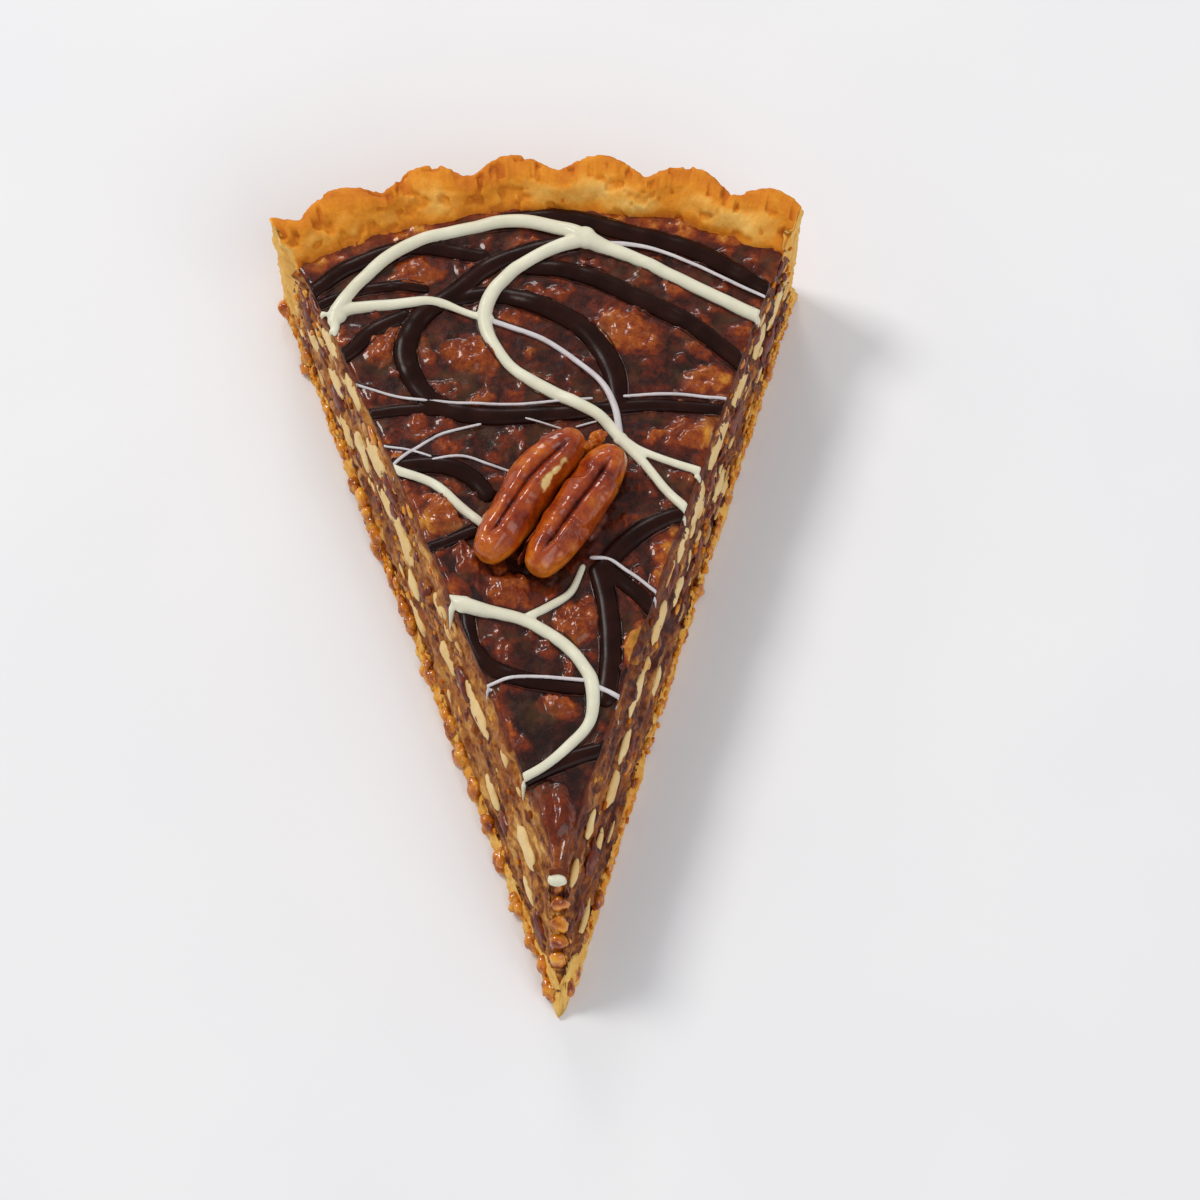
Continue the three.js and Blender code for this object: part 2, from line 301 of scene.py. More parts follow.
# %% [markdown]
# ## The wedge
#
# A knife cut from the tip to the rim is a straight line in plan, but the cut faces of a soft tart lean:
# the base sticks out further than the top. So a point of the slice is found by three numbers: how far
# across it is, how high, and how far it is from the tip to the rim. Everything below uses it.

# %% A point of the slice
FLUTE_PITCH = 8.65
FLUTE_PHASE = -2.25
FLUTE_DEPTH = 3.7
BOW_LEFT = 3.2
BOW_RIGHT = 1.85
BOW_END = 0.95
BOW_PEAK = 0.64         # the greatest value of the hump's formula
TIP_SHARPNESS = 0.3
TIP_BLUNT_FROM = 8.0
CUT_REACH = 108.0       # how far the filling's cuts run in y


def flute_depth(angle):
    """How far the wall stands in from its crests' circle: the absolute cosine of half the flute's turn
    gives round crests and narrow valleys, and the small number under the root rounds the valleys."""
    wave = np.abs(np.cos(np.pi * (np.degrees(angle) - FLUTE_PHASE) / FLUTE_PITCH))
    return FLUTE_DEPTH * (1 - np.sqrt(wave * wave + 0.02) / math.sqrt(1.02))


def slice_point(across, z, share=None, inward=None, flutes=0.0):
    """across runs from -1 at the left cut to 1 at the right cut. share is the straight way from the
    tip to the rim circle, or inward the distance back from that circle. The tip is blunt at the top
    and nearly sharp at the base. The upper edges bow in by a lopsided hump that ends at the wall."""
    angle = across * HALF_ANGLE
    radius = RIM_RADIUS - flutes * flute_depth(angle)
    end_x = radius * np.sin(angle)
    end_y = RIM_CENTRE + radius * np.cos(angle)
    tip_x = across * TIP_HALF_WIDTH * mix(TIP_SHARPNESS, 1.0, smoothstep(z, 0.0, TIP_BLUNT_FROM))
    tip_y = TIP_LEAN * z / FILL_AT_TIP
    if share is None:
        share = 1 - inward / np.hypot(end_x - tip_x, end_y - tip_y)
    way = np.clip(share / BOW_END, 0, 1)
    bow = np.where(across < 0, BOW_LEFT, BOW_RIGHT) * way ** 0.35 * (1 - way) ** 0.3 / BOW_PEAK
    x = mix(tip_x, end_x, share) - across * bow * z / FILL_AT_RIM
    y = mix(tip_y, end_y, share)
    return np.stack(np.broadcast_arrays(x, y, z), -1).astype(float)


# %% [markdown]
# ## The knife's mark
#
# A knife drags crumbs and nuts along, so a cut face is rough: pastry breaks into fine crumb, while
# nuts stand proud and caramel tears back. One function gives the roughness of both cut faces, so the
# shell and the filling agree where they meet.

# %% Roughness of the cut faces
def cut_relief(along, z, side, coarse, fine):
    """How far a point of a cut face stands out, in mm: coarse lumps longer than high, and fine crumb."""
    place = np.stack(np.broadcast_arrays(along * 0.45, z * 1.0, side * 40.0), -1)
    crumb = np.stack(np.broadcast_arrays(along, z * 1.0, side * 40.0), -1)
    return coarse * noise(place, 1.5, 3, 2) + fine * noise(crumb, 0.7, 9, 2)


# %% [markdown]
# ## Baked short crust
#
# Short crust is flour, butter and sugar, baked to a golden tan. It is matt and granular, paler where it
# was cut or lay against the filling, and browner along the rim, which stood up in the oven's heat. The
# browning is worked out with the shape, as a mark on each point, because it follows the rim and not
# the room's axes. On the wall the same mark also carries painted shade: deeper colour in the dents and
# hollows, lighter on the bumps. The material only turns that mark into colour and adds grain.

# %% Crust material
crust_finish, crust_mm, crust_shader = new_finish(
    "baked_short_crust", Roughness=0.6, Specular_IOR_Level=0.12, Subsurface_Weight=0.12,
    Subsurface_Radius=(1.0, 0.5, 0.25), Subsurface_Scale=1.2 * MM)
# the mark is browning, and on the wall also painted shade in the dents and hollows
browning_and_shade = add_node(crust_finish, "Attribute", attribute_name="browning_and_shade")
crust_mottle = add_node(crust_finish, "TexNoise", {"Vector": crust_mm, "Scale": 0.32, "Detail": 5.0,
                                                   "Roughness": 0.6})
crust_grain = add_node(crust_finish, "TexNoise", {"Vector": crust_mm, "Scale": 1.9, "Detail": 4.0,
                                                  "Roughness": 0.65})
uneven = add_node(crust_finish, "Math", {0: crust_mottle.outputs["Fac"], 1: -0.5}, operation="ADD")
uneven = add_node(crust_finish, "Math", {0: uneven.outputs[0], 1: 0.6, 2: browning_and_shade.outputs["Fac"]},
                  operation="MULTIPLY_ADD")
speckled = add_node(crust_finish, "Math", {0: crust_grain.outputs["Fac"], 1: 0.22, 2: uneven.outputs[0]},
                    operation="MULTIPLY_ADD")
crust_colour = add_node(crust_finish, "ValToRGB", {"Fac": speckled.outputs[0]},
                        stops=[(0.02, "#f5c972"), (1.0, "#8a4410"), (0.24, "#eeaf50"), (0.46, "#e28e26"),
                               (0.74, "#c4691a")])
crust_bump = add_node(crust_finish, "Bump", {"Strength": 0.55, "Distance": 0.25 * MM,
                                             "Height": crust_grain.outputs["Fac"]})
join(crust_finish, {"Base Color": crust_colour.outputs["Color"], "Normal": crust_bump.outputs[0]},
     crust_shader)

# %% [markdown]
# ## The crust's wall
#
# The wall is one section carried round the rim. Its outside was pressed into a fluted tin, its top was
# rubbed flat with a thumb and its inside slopes down to the filling. The outside and the inside are
# drawn as two lines of heights with as many points each, so that the cut ends can be closed by rings
# that shrink towards the middle of the wall, with room for crumb on them.

# %% Wall section
WALL_FLARE = 3.3
WALL_ROWS = 70
WALL_COLUMNS = 620
CAP_RINGS = (0.2, 0.42, 0.64, 0.86, 0.97)


def wall_lines(count):
    """The wall's outside from foot to top and its inside from foot to top: heights, distances in from
    the crests and how strongly each follows the flutes. Both are blends through a few named corners."""
    outside = np.array([[0.0, WALL_FLARE + 1.0, 1.0], [0.7, WALL_FLARE, 1.0],
                        [HEIGHT * 0.5, WALL_FLARE * 0.5, 1.0], [HEIGHT - 1.6, 0.25, 1.0],
                        [HEIGHT - 0.5, 0.4, 1.0], [HEIGHT - 0.1, 1.2, 0.97], [HEIGHT, 2.2, 0.9]])
    inside = np.array([[0.0, 12.0, 0.0], [FLOOR, 12.0, 0.0], [FLOOR + 4, 10.2, 0.0],
                       [FILL_AT_RIM - 0.6, WALL_THICKNESS + 0.4, 0.0], [FILL_AT_RIM + 0.5, 9.0, 0.05],
                       [FILL_AT_RIM + 1.7, 7.6, 0.2], [HEIGHT - 0.7, 6.0, 0.45], [HEIGHT - 0.05, 4.4, 0.7]])
    lines = []
    for corners in (outside, inside):
        length = np.concatenate([[0], np.cumsum(np.hypot(*np.diff(corners[:, :2], axis=0).T))])
        places = np.linspace(0, length[-1], count)
        lines.append(np.stack([np.interp(places, length, corners[:, k]) for k in range(3)], -1))
    return lines


outside_line, inside_line = wall_lines(WALL_ROWS)
wall_line = np.concatenate([outside_line, inside_line[::-1]])
wall_middle = (outside_line + inside_line) / 2
wall_middle[:, 0] = 2.5 + (HEIGHT - 5) * wall_middle[:, 0] / HEIGHT
wall_middle = np.concatenate([wall_middle, wall_middle[::-1]])
print("the wall's section has", len(wall_line), "points")

# %% [markdown]
# Each point then moves along the surface's own normal by a little noise. A normal is found from the
# points themselves: the step to the next ring crossed with the step round the ring.

# %% Wall surface
def ring_normals(rings):
    """Unit normals of a stack of rings, from the steps between neighbours along and round it."""
    along = np.gradient(rings, axis=0)
    around = np.roll(rings, -1, axis=1) - np.roll(rings, 1, axis=1)
    normal = np.cross(around, along)
    return normal / np.maximum(np.linalg.norm(normal, axis=-1, keepdims=True), 1e-9)


def wall_rings():
    """One wall section for each place across the slice. At both cuts the section comes again, each
    time nearer to the wall's middle line, and that closes the end."""
    ends = np.array(CAP_RINGS)
    shrink = np.concatenate([ends[::-1], np.zeros(WALL_COLUMNS), ends])[:, None, None]
    across = np.concatenate([np.full(len(ends), -1.0), np.linspace(-1, 1, WALL_COLUMNS),
                             np.full(len(ends), 1.0)])[:, None]
    line = mix(wall_line, wall_middle, shrink)
    rings = slice_point(across, line[..., 0], inward=line[..., 1], flutes=line[..., 2])
    cut = np.broadcast_to(np.maximum(shrink[..., 0] > 0, np.abs(across) > 0.999), rings.shape[:2])
    return rings, np.broadcast_to(line, rings.shape), cut


rings, line, cut = wall_rings()
upper = smoothstep(line[..., 0], HEIGHT - 7, HEIGHT - 0.5)
outer = 1 - smoothstep(line[..., 1], 3.6, 6.4)
inner_slope = (1 - outer) * smoothstep(line[..., 0], FILL_AT_RIM - 2, FILL_AT_RIM)
lumps = 0.16 * noise(rings, 3.4, 1, 3)
waves = 0.75 * noise(rings, 6.5, 8, 2) * inner_slope
dimples = -0.55 * smoothstep(noise(rings, 1.9, 7, 2), 0.30, 0.62) * upper
crumb = 0.13 * noise(rings, 0.9, 2, 2)
crumb = np.where(cut, 2.4 * crumb, crumb)
foot = smoothstep(rings[..., 2], 0.0, 1.0)
wall = rings + ring_normals(rings) * ((lumps + waves + dimples + crumb) * foot)[..., None]
wall[..., 2] = np.maximum(wall[..., 2], 0.05)

browning_and_dent_shade = 0.34 + 0.12 * upper * outer - 0.08 * (1 - outer) * upper + 0.08 * noise(rings, 6.0, 5, 2)
# painted shade: colour deepened in the hollows of the waves, lumps and dimples, lightened on their tops
browning_and_dent_shade = browning_and_dent_shade - 0.20 * (waves + lumps) - 0.30 * dimples
at_filling = 1 - smoothstep(line[..., 0], FILL_AT_RIM, FILL_AT_RIM + 1.6)
browning_and_dent_shade = browning_and_dent_shade + 0.22 * (1 - outer) * at_filling
browning_and_dent_shade = np.where(cut, 0.04, browning_and_dent_shade)
wall_points, wall_faces = closed_tube(wall)
make_piece("crust_wall", wall_points, wall_faces, [crust_finish], ["crust"],
           {"browning_and_shade": browning_and_dent_shade})

# %% [markdown]
# ## The crust's base
#
# The base is a flat sheet of the same pastry, and only its two cut edges show. It is carried the other
# way, from tip to rim, so that the rings' points are spent on those edges. The knife has crumbled them.

# %% Base surface
BASE_RINGS = 470
BASE_SIDE_ROWS = 13
TIP_CAP = (0.08, 0.4, 0.72)
TIP_THICKER = 4.2


def wedge_rings(shares, side_shares, low, high, top_columns, caps=TIP_CAP):
    """Sections from tip to rim, each a closed ring: the top from left to right, the right cut down
    and the left cut up. low and high are heights, and high may be a function of x and y. The first
    rings shrink to the middle of the tip's face."""
    across = np.concatenate([np.linspace(-1, 1, top_columns), np.ones(len(side_shares)),
                             -np.ones(len(side_shares))])
    up = np.concatenate([np.ones(top_columns), side_shares[::-1], side_shares])
    shrink = np.concatenate([caps, np.ones(len(shares))])[:, None]
    shares = np.concatenate([np.zeros(len(caps)), shares])[:, None]
    flat = slice_point(across * shrink, FILL_AT_RIM if callable(high) else high, share=shares)
    top = high(flat[..., 0], flat[..., 1]) if callable(high) else np.full(flat.shape[:2], high)
    z = mix(low, top, up)
    z = mix(mix(low, top, 0.5), z, shrink)
    points = slice_point(across * shrink, z, share=shares)
    return (points, *np.broadcast_arrays(across + 0 * z, mix(0.5, up, shrink) + 0 * z, shares + 0 * z))


def base_top(x, y):
    """The base's upper face: level, but thicker for the last few millimetres before the tip."""
    return FLOOR + TIP_THICKER * (1 - smoothstep(y, TIP_LEAN, TIP_LEAN + 6.5)) + 0 * x


base_side = np.linspace(0, 1, BASE_SIDE_ROWS)[:-1]
rings, across, up, share = wedge_rings(np.linspace(0, 0.965, BASE_RINGS), base_side, 0.05, base_top, 9)
stand_out = 0.35 + cut_relief(rings[..., 1], rings[..., 2], across, 0.55, 0.28)
stand_out = np.where(np.abs(across) > 0.999, stand_out, 0)
base = rings + ring_normals(rings) * stand_out[..., None]
base[..., 2] = np.maximum(base[..., 2], 0.05)
base_points, base_faces = closed_tube(base)
base_brown = 0.10 + 0.16 * noise(rings, 3.0, 6, 3) + 0.12 * (1 - smoothstep(rings[..., 2], 0.2, 1.6))
base_brown = base_brown * smoothstep(rings[..., 1], 4.0, 16.0)
make_piece("crust_base", base_points, base_faces, [crust_finish], ["crust"],
           {"browning_and_shade": base_brown})

# %% [markdown]
# ## The bed of nuts under the glaze
#
# The top of a pecan filling is chopped nuts that float up in a caramel and set under a shiny skin. Each
# nut is a craggy oval with a dent along it, and the caramel is a nearly level sea between them. The
# surface follows whichever is higher, with a soft blend where the caramel creeps up a nut. The large
# nuts are listed one by one, and smaller ones fill the gaps on a shaken grid.

# %% The nuts and the surface they make
LARGE_NUTS = [          # x, y, turn in degrees, half length, half width, height, tone
    (-20.5, 120.5, 20, 5.5, 3.0, 1.2, 0.70), (-11.0, 105.5, -15, 6.0, 3.8, 1.5, 0.62),
    (0.5, 116.0, 10, 5.0, 2.6, 1.3, 0.35), (14.0, 108.5, -30, 6.5, 4.2, 1.2, 0.78),
    (-25.0, 107.5, 35, 5.0, 3.2, 1.1, 0.66), (26.0, 99.5, 15, 4.5, 3.0, 0.9, 0.76),
    (-17.0, 76.0, -60, 5.0, 3.0, 1.4, 0.74), (-6.5, 62.5, -25, 5.0, 3.2, 1.4, 0.60),
    (4.0, 56.5, 30, 5.2, 3.6, 1.1, 0.62), (1.0, 42.0, -8, 3.4, 2.0, 1.3, 0.95),
    (-6.0, 36.5, -65, 3.6, 2.2, 1.0, 0.5), (23.0, 90.0, 30, 4.6, 3.0, 1.1, 0.6),
    (15.0, 82.0, -40, 4.2, 3.2, 0.8, 0.25), (-19.0, 92.0, 10, 5.5, 3.0, 0.8, 0.36),
    (-4.5, 89.5, 5, 4.6, 3.0, 0.8, 0.25), (13.5, 52.5, 70, 4.4, 2.4, 1.0, 0.8),
    (-8.0, 53.5, -20, 4.8, 3.4, 0.8, 0.3), (24.0, 110.0, -35, 5.0, 3.0, 0.8, 0.38),
    (25.0, 122.0, -30, 5.5, 2.6, 0.7, 0.3), (-15.0, 98.5, 0, 5.0, 3.0, 0.7, 0.3),
    (-0.5, 100.0, -25, 5.5, 3.4, 0.8, 0.35), (18.0, 64.0, 60, 3.8, 2.2, 1.0, 0.65),
    (-13.0, 68.0, -70, 4.5, 2.6, 1.0, 0.42), (-0.9, 23.8, 80, 6.2, 4.2, 2.2, 0.22),
    (20.5, 73.0, 20, 3.6, 2.2, 0.9, 0.7), (-2.0, 105.5, 20, 1.2, 1.1, 1.1, 0.85),
    (0.0, 17.6, 90, 3.6, 2.2, 1.0, 0.55),
]
GLAZE_LEVEL = 0.35
BLEND = 0.10


def scattered_nuts(count_across, spacing, clear, seed):
    """Small nuts on a shaken grid over the wedge, left out where a large nut lies."""
    rng = np.random.default_rng(seed)
    steps = np.arange(-count_across, count_across + 1) * spacing
    grid_x, grid_y = np.meshgrid(steps, np.arange(30, LENGTH - 8, spacing))
    places = np.stack([grid_x.ravel(), grid_y.ravel()], -1)
    places = places + rng.uniform(-0.45, 0.45, places.shape) * spacing
    large = np.array(LARGE_NUTS)[:, :2]
    away = np.linalg.norm(places[:, None] - large[None], axis=-1).min(1)
    places = places[(away > clear) & (np.abs(places[:, 0]) < 0.34 * places[:, 1] + 1)]
    count = len(places)
    return np.column_stack([places, rng.uniform(0, 180, count), rng.uniform(1.6, 3.8, count),
                            rng.uniform(1.1, 2.4, count), rng.uniform(0.3, 0.85, count),
                            rng.uniform(0.2, 0.8, count)])


nuts = np.concatenate([np.array(LARGE_NUTS), scattered_nuts(9, 4.4, 4.0, 11)])
print(len(nuts), "nuts lie under the glaze")


def nut_bed(x, y):
    """The surface's height, how far each point is up on a nut, its tone and how deep in the pool it is.
    A nut's dome is its height times one less the cube of the oval distance from its middle, less a
    dent along it; folded noise, the absolute value of noise, makes it craggy. The surface is the
    logarithm of a sum of powers, a soft maximum."""
    flat = np.stack([x, y, np.zeros_like(x)], -1)
    warped_x = x + 1.1 * noise(flat, 3.2, 21, 3)
    warped_y = y + 1.1 * noise(flat, 3.2, 22, 3)
    dome = np.full(x.shape, -1.0)
    tone = 0.30 + 0.22 * noise(flat, 6.0, 27, 3)
    for nut_x, nut_y, turn, half_long, half_wide, height, shade in nuts:
        cosine, sine = math.cos(math.radians(turn)), math.sin(math.radians(turn))
        u = ((warped_x - nut_x) * cosine + (warped_y - nut_y) * sine) / half_long
        v = ((warped_y - nut_y) * cosine - (warped_x - nut_x) * sine) / half_wide
        reach = np.minimum(np.sqrt(u * u + v * v), 1.4)
        rise = height * (1 - reach ** 3) - 0.25 * height * np.exp(-(v / 0.2) ** 2) * (1 - reach / 1.4)
        tone = np.where((rise > dome) & (rise > 0), shade, tone)
        dome = np.maximum(dome, rise)
    slope = mix(FILL_AT_TIP, FILL_AT_RIM, (y - TIP_LEAN) / (LENGTH - WALL_THICKNESS - TIP_LEAN))
    near_tip = 1 - smoothstep(y, 28.0, 34.0)
    swell = 0.14 * noise(flat, 8.0, 23, 2) + 0.10 * noise(flat, 2.2, 26, 2)
    glaze = GLAZE_LEVEL + swell * (1 - 0.8 * near_tip)
    crags = 0.22 - 0.9 * np.abs(noise(flat, 2.6, 24, 3))
    skin = dome + (0.8 * crags + 0.10 * noise(flat, 0.8, 25, 2)) * (1 - 0.9 * near_tip)
    pool = np.exp(-(((x - 0.5) / 7.5) ** 4 + ((y - 37) / 8.5) ** 4))
    skin = skin - 0.75 * pool * np.maximum(dome - 1.0, 0.4)
    level = BLEND * np.logaddexp(glaze / BLEND, skin / BLEND)
    return slope + level - GLAZE_LEVEL, smoothstep(skin - glaze, -0.2, 0.35), tone, pool


def surface_height(x, y):
    """The height of the filling's top alone, the first of the four numbers that nut_bed works out."""
    return nut_bed(x, y)[0]


# %% [markdown]
# ## The filling
#
# The filling is one body with two kinds of skin: the glazed top and the sawn sides. As with the base it
# is carried from tip to rim, with its points where they show: across the top and down both cuts. The
# last rings dip behind the wall. The marks say what lies where, so the material can colour nut,
# caramel and the amber edges apart.

# %% Filling surface
FILL_RINGS = 346
FILL_COLUMNS = 200
FILL_SIDE_ROWS = 44
fill_side = np.linspace(0, 1, FILL_SIDE_ROWS)[:-1]
fill_end = 1 - (WALL_THICKNESS - 1.9) / (LENGTH - TIP_LEAN)
rings, across, up, share = wedge_rings(np.linspace(0, fill_end, FILL_RINGS), fill_side, FLOOR - 0.4,
                                       surface_height, FILL_COLUMNS)
_, nut_mark, tone_mark, pool_mark = nut_bed(rings[..., 0], rings[..., 1])
half_width = mix(TIP_HALF_WIDTH, RIM_RADIUS * math.sin(HALF_ANGLE), share)
from_cut = (1 - np.abs(across)) * half_width
from_rim = (1 - share) * (LENGTH - TIP_LEAN) - WALL_THICKNESS
patches = smoothstep(noise(rings, 5.5, 28, 2), -0.45, 0.35)
edge_mark = np.maximum((1 - smoothstep(from_cut, 0.3, 3.2)) * patches,
                       1 - smoothstep(from_rim, 0.8, 4.2))

rounding = np.where(up > 0.999, 0.35 * (1 - smoothstep(from_cut, 0.0, 0.7)), 0)
torn = cut_relief(rings[..., 1], rings[..., 2], across, 0.6, 0.3)
torn = np.where(np.abs(across) > 0.999, torn * (1 - 0.6 * smoothstep(up, 0.93, 1.0)), 0)
filling = rings + ring_normals(rings) * torn[..., None]
behind_wall = 2.5 * (1 - smoothstep(from_rim, -1.9, -0.8))
filling[..., 2] -= rounding + behind_wall * up
filling_points, filling_faces = closed_tube(filling)
columns = FILL_COLUMNS + 2 * len(fill_side)
is_side = np.ones((len(filling) - 1, columns), int)
is_side[len(TIP_CAP):, :FILL_COLUMNS - 1] = 0

# %% [markdown]
# The glaze is caramel: sugar and syrup cooked to a clear dark brown, so it is glossy, deep brown in the
# pools, red-brown over a nut's skin and amber where light comes through it at an edge. The colour is
# one ramp of depths, moved up and down by the marks and by noise. The sawn side is duller: chopped
# nut and caramel smeared by the knife. A noise stretched along the slice draws the smears, and the
# cells of a flattened Voronoi pattern are the cut flakes. The right cut carries painted shade: its
# colour is a little deeper because it faces away from the window light.

# %% Glaze
glaze_finish, glaze_mm, glaze_shader = new_finish(
    "glossy_caramel_glaze", Roughness=0.24, Specular_IOR_Level=0.10, Coat_Weight=0.45, Coat_Roughness=0.07,
    IOR=1.46)
nut_here, tone_here, edge_here, pool_here = (
    add_node(glaze_finish, "Attribute", attribute_name=mark).outputs["Fac"]
    for mark in ("nut", "tone", "edge", "pool"))
cloud = add_node(glaze_finish, "TexNoise", {"Vector": glaze_mm, "Scale": 0.5, "Detail": 5.0,
                                            "Roughness": 0.65}).outputs["Fac"]
speck = add_node(glaze_finish, "TexNoise", {"Vector": glaze_mm, "Scale": 2.4, "Detail": 3.0,
                                            "Roughness": 0.7}).outputs["Fac"]
golden = add_node(glaze_finish, "TexNoise", {"Vector": glaze_mm, "Scale": 0.22, "Detail": 3.0}).outputs["Fac"]
depth = -0.64
for part, weight in ((nut_here, 0.30), (tone_here, 0.45), (cloud, 0.95), (speck, 0.42), (edge_here, 0.30),
                     (pool_here, -0.16)):
    depth = add_node(glaze_finish, "Math", {0: part, 1: weight, 2: depth},
                     operation="MULTIPLY_ADD").outputs[0]
glaze_colour = add_node(glaze_finish, "ValToRGB", {"Fac": depth},
                        stops=[(0.0, "#1f0c07"), (1.0, "#cf8a30"), (0.16, "#32130c"), (0.36, "#561f10"),
                               (0.56, "#7a2f10"), (0.76, "#a04e18")]).outputs["Color"]
olive = add_node(glaze_finish, "MapRange", {"Value": golden, "From Min": 0.52, "From Max": 0.68,
                                            "To Max": 0.35})
glaze_colour = add_node(glaze_finish, "Mix", {0: olive.outputs[0], 6: glaze_colour, 7: linear("#5e4020")},
                        data_type="RGBA").outputs[2]
glaze_bump = add_node(glaze_finish, "Bump", {"Strength": 0.45, "Distance": 0.2 * MM, "Height": speck})
join(glaze_finish, {"Base Color": glaze_colour, "Normal": glaze_bump.outputs[0]}, glaze_shader)

# %% Sawn side
sawn_finish, sawn_mm, sawn_shader = new_finish("sawn_nut_filling", Roughness=0.4, Specular_IOR_Level=0.2)
# the second mark lowers both cuts on the ramp, with painted shade added on the right cut
height_here, shift_and_right_shade_here = (add_node(sawn_finish, "Attribute", attribute_name=mark).outputs["Fac"]
                            for mark in ("up", "shift_and_right_shade"))
streaked = add_node(sawn_finish, "Mapping", {"Vector": sawn_mm, "Scale": (0.14, 0.14, 0.5)}).outputs[0]
streak = add_node(sawn_finish, "TexNoise", {"Vector": streaked, "Scale": 1.0, "Detail": 6.0,
                                            "Roughness": 0.6, "Distortion": 0.6}).outputs["Fac"]
bits = add_node(sawn_finish, "TexNoise", {"Vector": sawn_mm, "Scale": 0.7, "Detail": 5.0,
                                          "Roughness": 0.7}).outputs["Fac"]
layers = add_node(sawn_finish, "Mapping", {"Vector": sawn_mm, "Scale": (0.26, 0.26, 0.62)}).outputs[0]
flakes = add_node(sawn_finish, "TexVoronoi", {"Vector": layers, "Scale": 1.0}).outputs["Color"]
sawn_shade = streak
for part, weight in ((bits, 0.6), (flakes, 0.28), (shift_and_right_shade_here, -1.0)):
    sawn_shade = add_node(sawn_finish, "Math", {0: part, 1: weight, 2: sawn_shade},
                          operation="MULTIPLY_ADD").outputs[0]
sawn_colour = add_node(sawn_finish, "ValToRGB", {"Fac": sawn_shade},
                       stops=[(0.46, "#451405"), (0.98, "#e8b868"), (0.57, "#7a3c14"), (0.68, "#a36226"),
                              (0.80, "#c4863a")]).outputs["Color"]
warm = add_node(sawn_finish, "TexNoise", {"Vector": streaked, "Scale": 0.7, "Detail": 2.0}).outputs["Fac"]
warm = add_node(sawn_finish, "MapRange", {"Value": warm, "From Min": 0.55, "From Max": 0.72, "To Max": 0.7})
sawn_colour = add_node(sawn_finish, "Mix", {0: warm.outputs[0], 6: sawn_colour, 7: linear("#a5561a")},
                       data_type="RGBA").outputs[2]
crest = add_node(sawn_finish, "MapRange", {"Value": height_here, "From Min": 0.90, "From Max": 0.97})
sawn_colour = add_node(sawn_finish, "Mix", {0: crest.outputs[0], 6: sawn_colour, 7: linear("#6e3014")},
                       data_type="RGBA").outputs[2]
sawn_bump = add_node(sawn_finish, "Bump", {"Strength": 0.6, "Distance": 0.25 * MM, "Height": bits})
join(sawn_finish, {"Base Color": sawn_colour, "Normal": sawn_bump.outputs[0]}, sawn_shader)

# the cuts' mark: 0.26 lowers both cuts on the ramp, and 0.15 more on the right cut is painted shade
make_piece("filling_body", filling_points, filling_faces, [glaze_finish, sawn_finish],
           ["filling"], {"nut": nut_mark, "tone": tone_mark, "pool": pool_mark, "edge": edge_mark, "up": up,
                       "shift_and_right_shade": 0.26 + 0.15 * (across > 0) + 0 * up},
           is_side.ravel().tolist() + [1, 1])

# %% [markdown]
# ## Pebbles: many small closed shapes at once
#
# Nut slices, beads of caramel and crumbs are all pebbles: a ball stretched along three half axes and
# roughened by noise. One function makes hundreds in one array, and a crumb has only a few dozen faces.

# %% Pebbles
def pebbles(middles, long_axes, wide_axes, deep_axes, rough, size, seed, rings=9, around=12, boxy=1.0):
    """Points and faces of many pebbles. A point is the middle plus the long axis times the cosine of
    its turn and the other axes times its sine, with the sine to the power boxy, which makes blunt
    ends below 1. Noise of the given size lengthens or shortens each radius. The deep axis is turned
    about where that is needed to face the skin outwards."""
    hand = np.sign(np.sum(np.cross(long_axes, wide_axes) * deep_axes, -1, keepdims=True))
    deep_axes = -hand * deep_axes
    turn = np.linspace(0.06, np.pi - 0.06, rings)[None, :, None]
    angle = (np.arange(around) * 2 * np.pi / around)[None, None, :]
    fat = np.sin(turn) ** boxy
    parts = [np.cos(turn) + 0 * angle, fat * np.cos(angle), fat * np.sin(angle)]
    offset = sum(part[..., None] * axis[:, None, None, :]
                 for part, axis in zip(parts, (long_axes, wide_axes, deep_axes)))
    points = middles[:, None, None, :] + offset
    points = points + offset * (rough * noise(points + 7.7 * np.arange(len(middles))[:, None, None, None],
                                              size, seed, 2))[..., None]
    tube, caps = np.array(ring_faces(rings, around)), [np.arange(around)[::-1],
                                                       np.arange((rings - 1) * around, rings * around)]
    start = (np.arange(len(middles)) * rings * around)[:, None, None]
    faces = (tube[None] + start).reshape(-1, 4).tolist()
    for cap in caps:
        faces.extend((cap[None] + start[:, 0]).tolist())
    return points.reshape(-1, 3), faces, rings * around


def share_at(side, y, z):
    """The share of the way from tip to rim at which a cut face's line at height z reaches each y."""
    shares = np.linspace(0, 1, 200)[None]
    line = slice_point(np.atleast_1d(side)[:, None], np.atleast_1d(z)[:, None], share=shares)[..., 1]
    return np.array([np.interp(place, ys, shares[0]) for place, ys in zip(np.atleast_1d(y), line)])


def cut_frame(side, along_share, z):
    """A place on a cut face: the point, the direction along the cut, down it, and out of it."""
    here = slice_point(side, z, share=along_share)
    there = slice_point(side, z, share=along_share + 0.01)
    below = slice_point(side, z - 1.0, share=along_share)
    along = (there - here) / np.linalg.norm(there - here, axis=-1, keepdims=True)
    down = (below - here) / np.linalg.norm(below - here, axis=-1, keepdims=True)
    out = np.cross(down, along) * np.asarray(side)[..., None]
    return here, along, down, out / np.linalg.norm(out, axis=-1, keepdims=True)


def both_sides(count):
    """The side of each of count things that lie by turns on the left cut, -1, and the right cut, 1."""
    return np.where(np.arange(count) % 2, 1.0, -1.0)


def scattered_on_cuts(count, low, high, *spans):
    """A table of random places on the cuts between two heights: side, y and z, and a column for each
    further span. The root of an even number crowds them towards the rim, where the cuts are seen."""
    columns = [both_sides(count), TIP_LEAN + CUT_REACH * np.sqrt(rng.uniform(0, 1, count))]
    return np.column_stack(columns + [rng.uniform(*span, count) for span in ((low, high), *spans)])
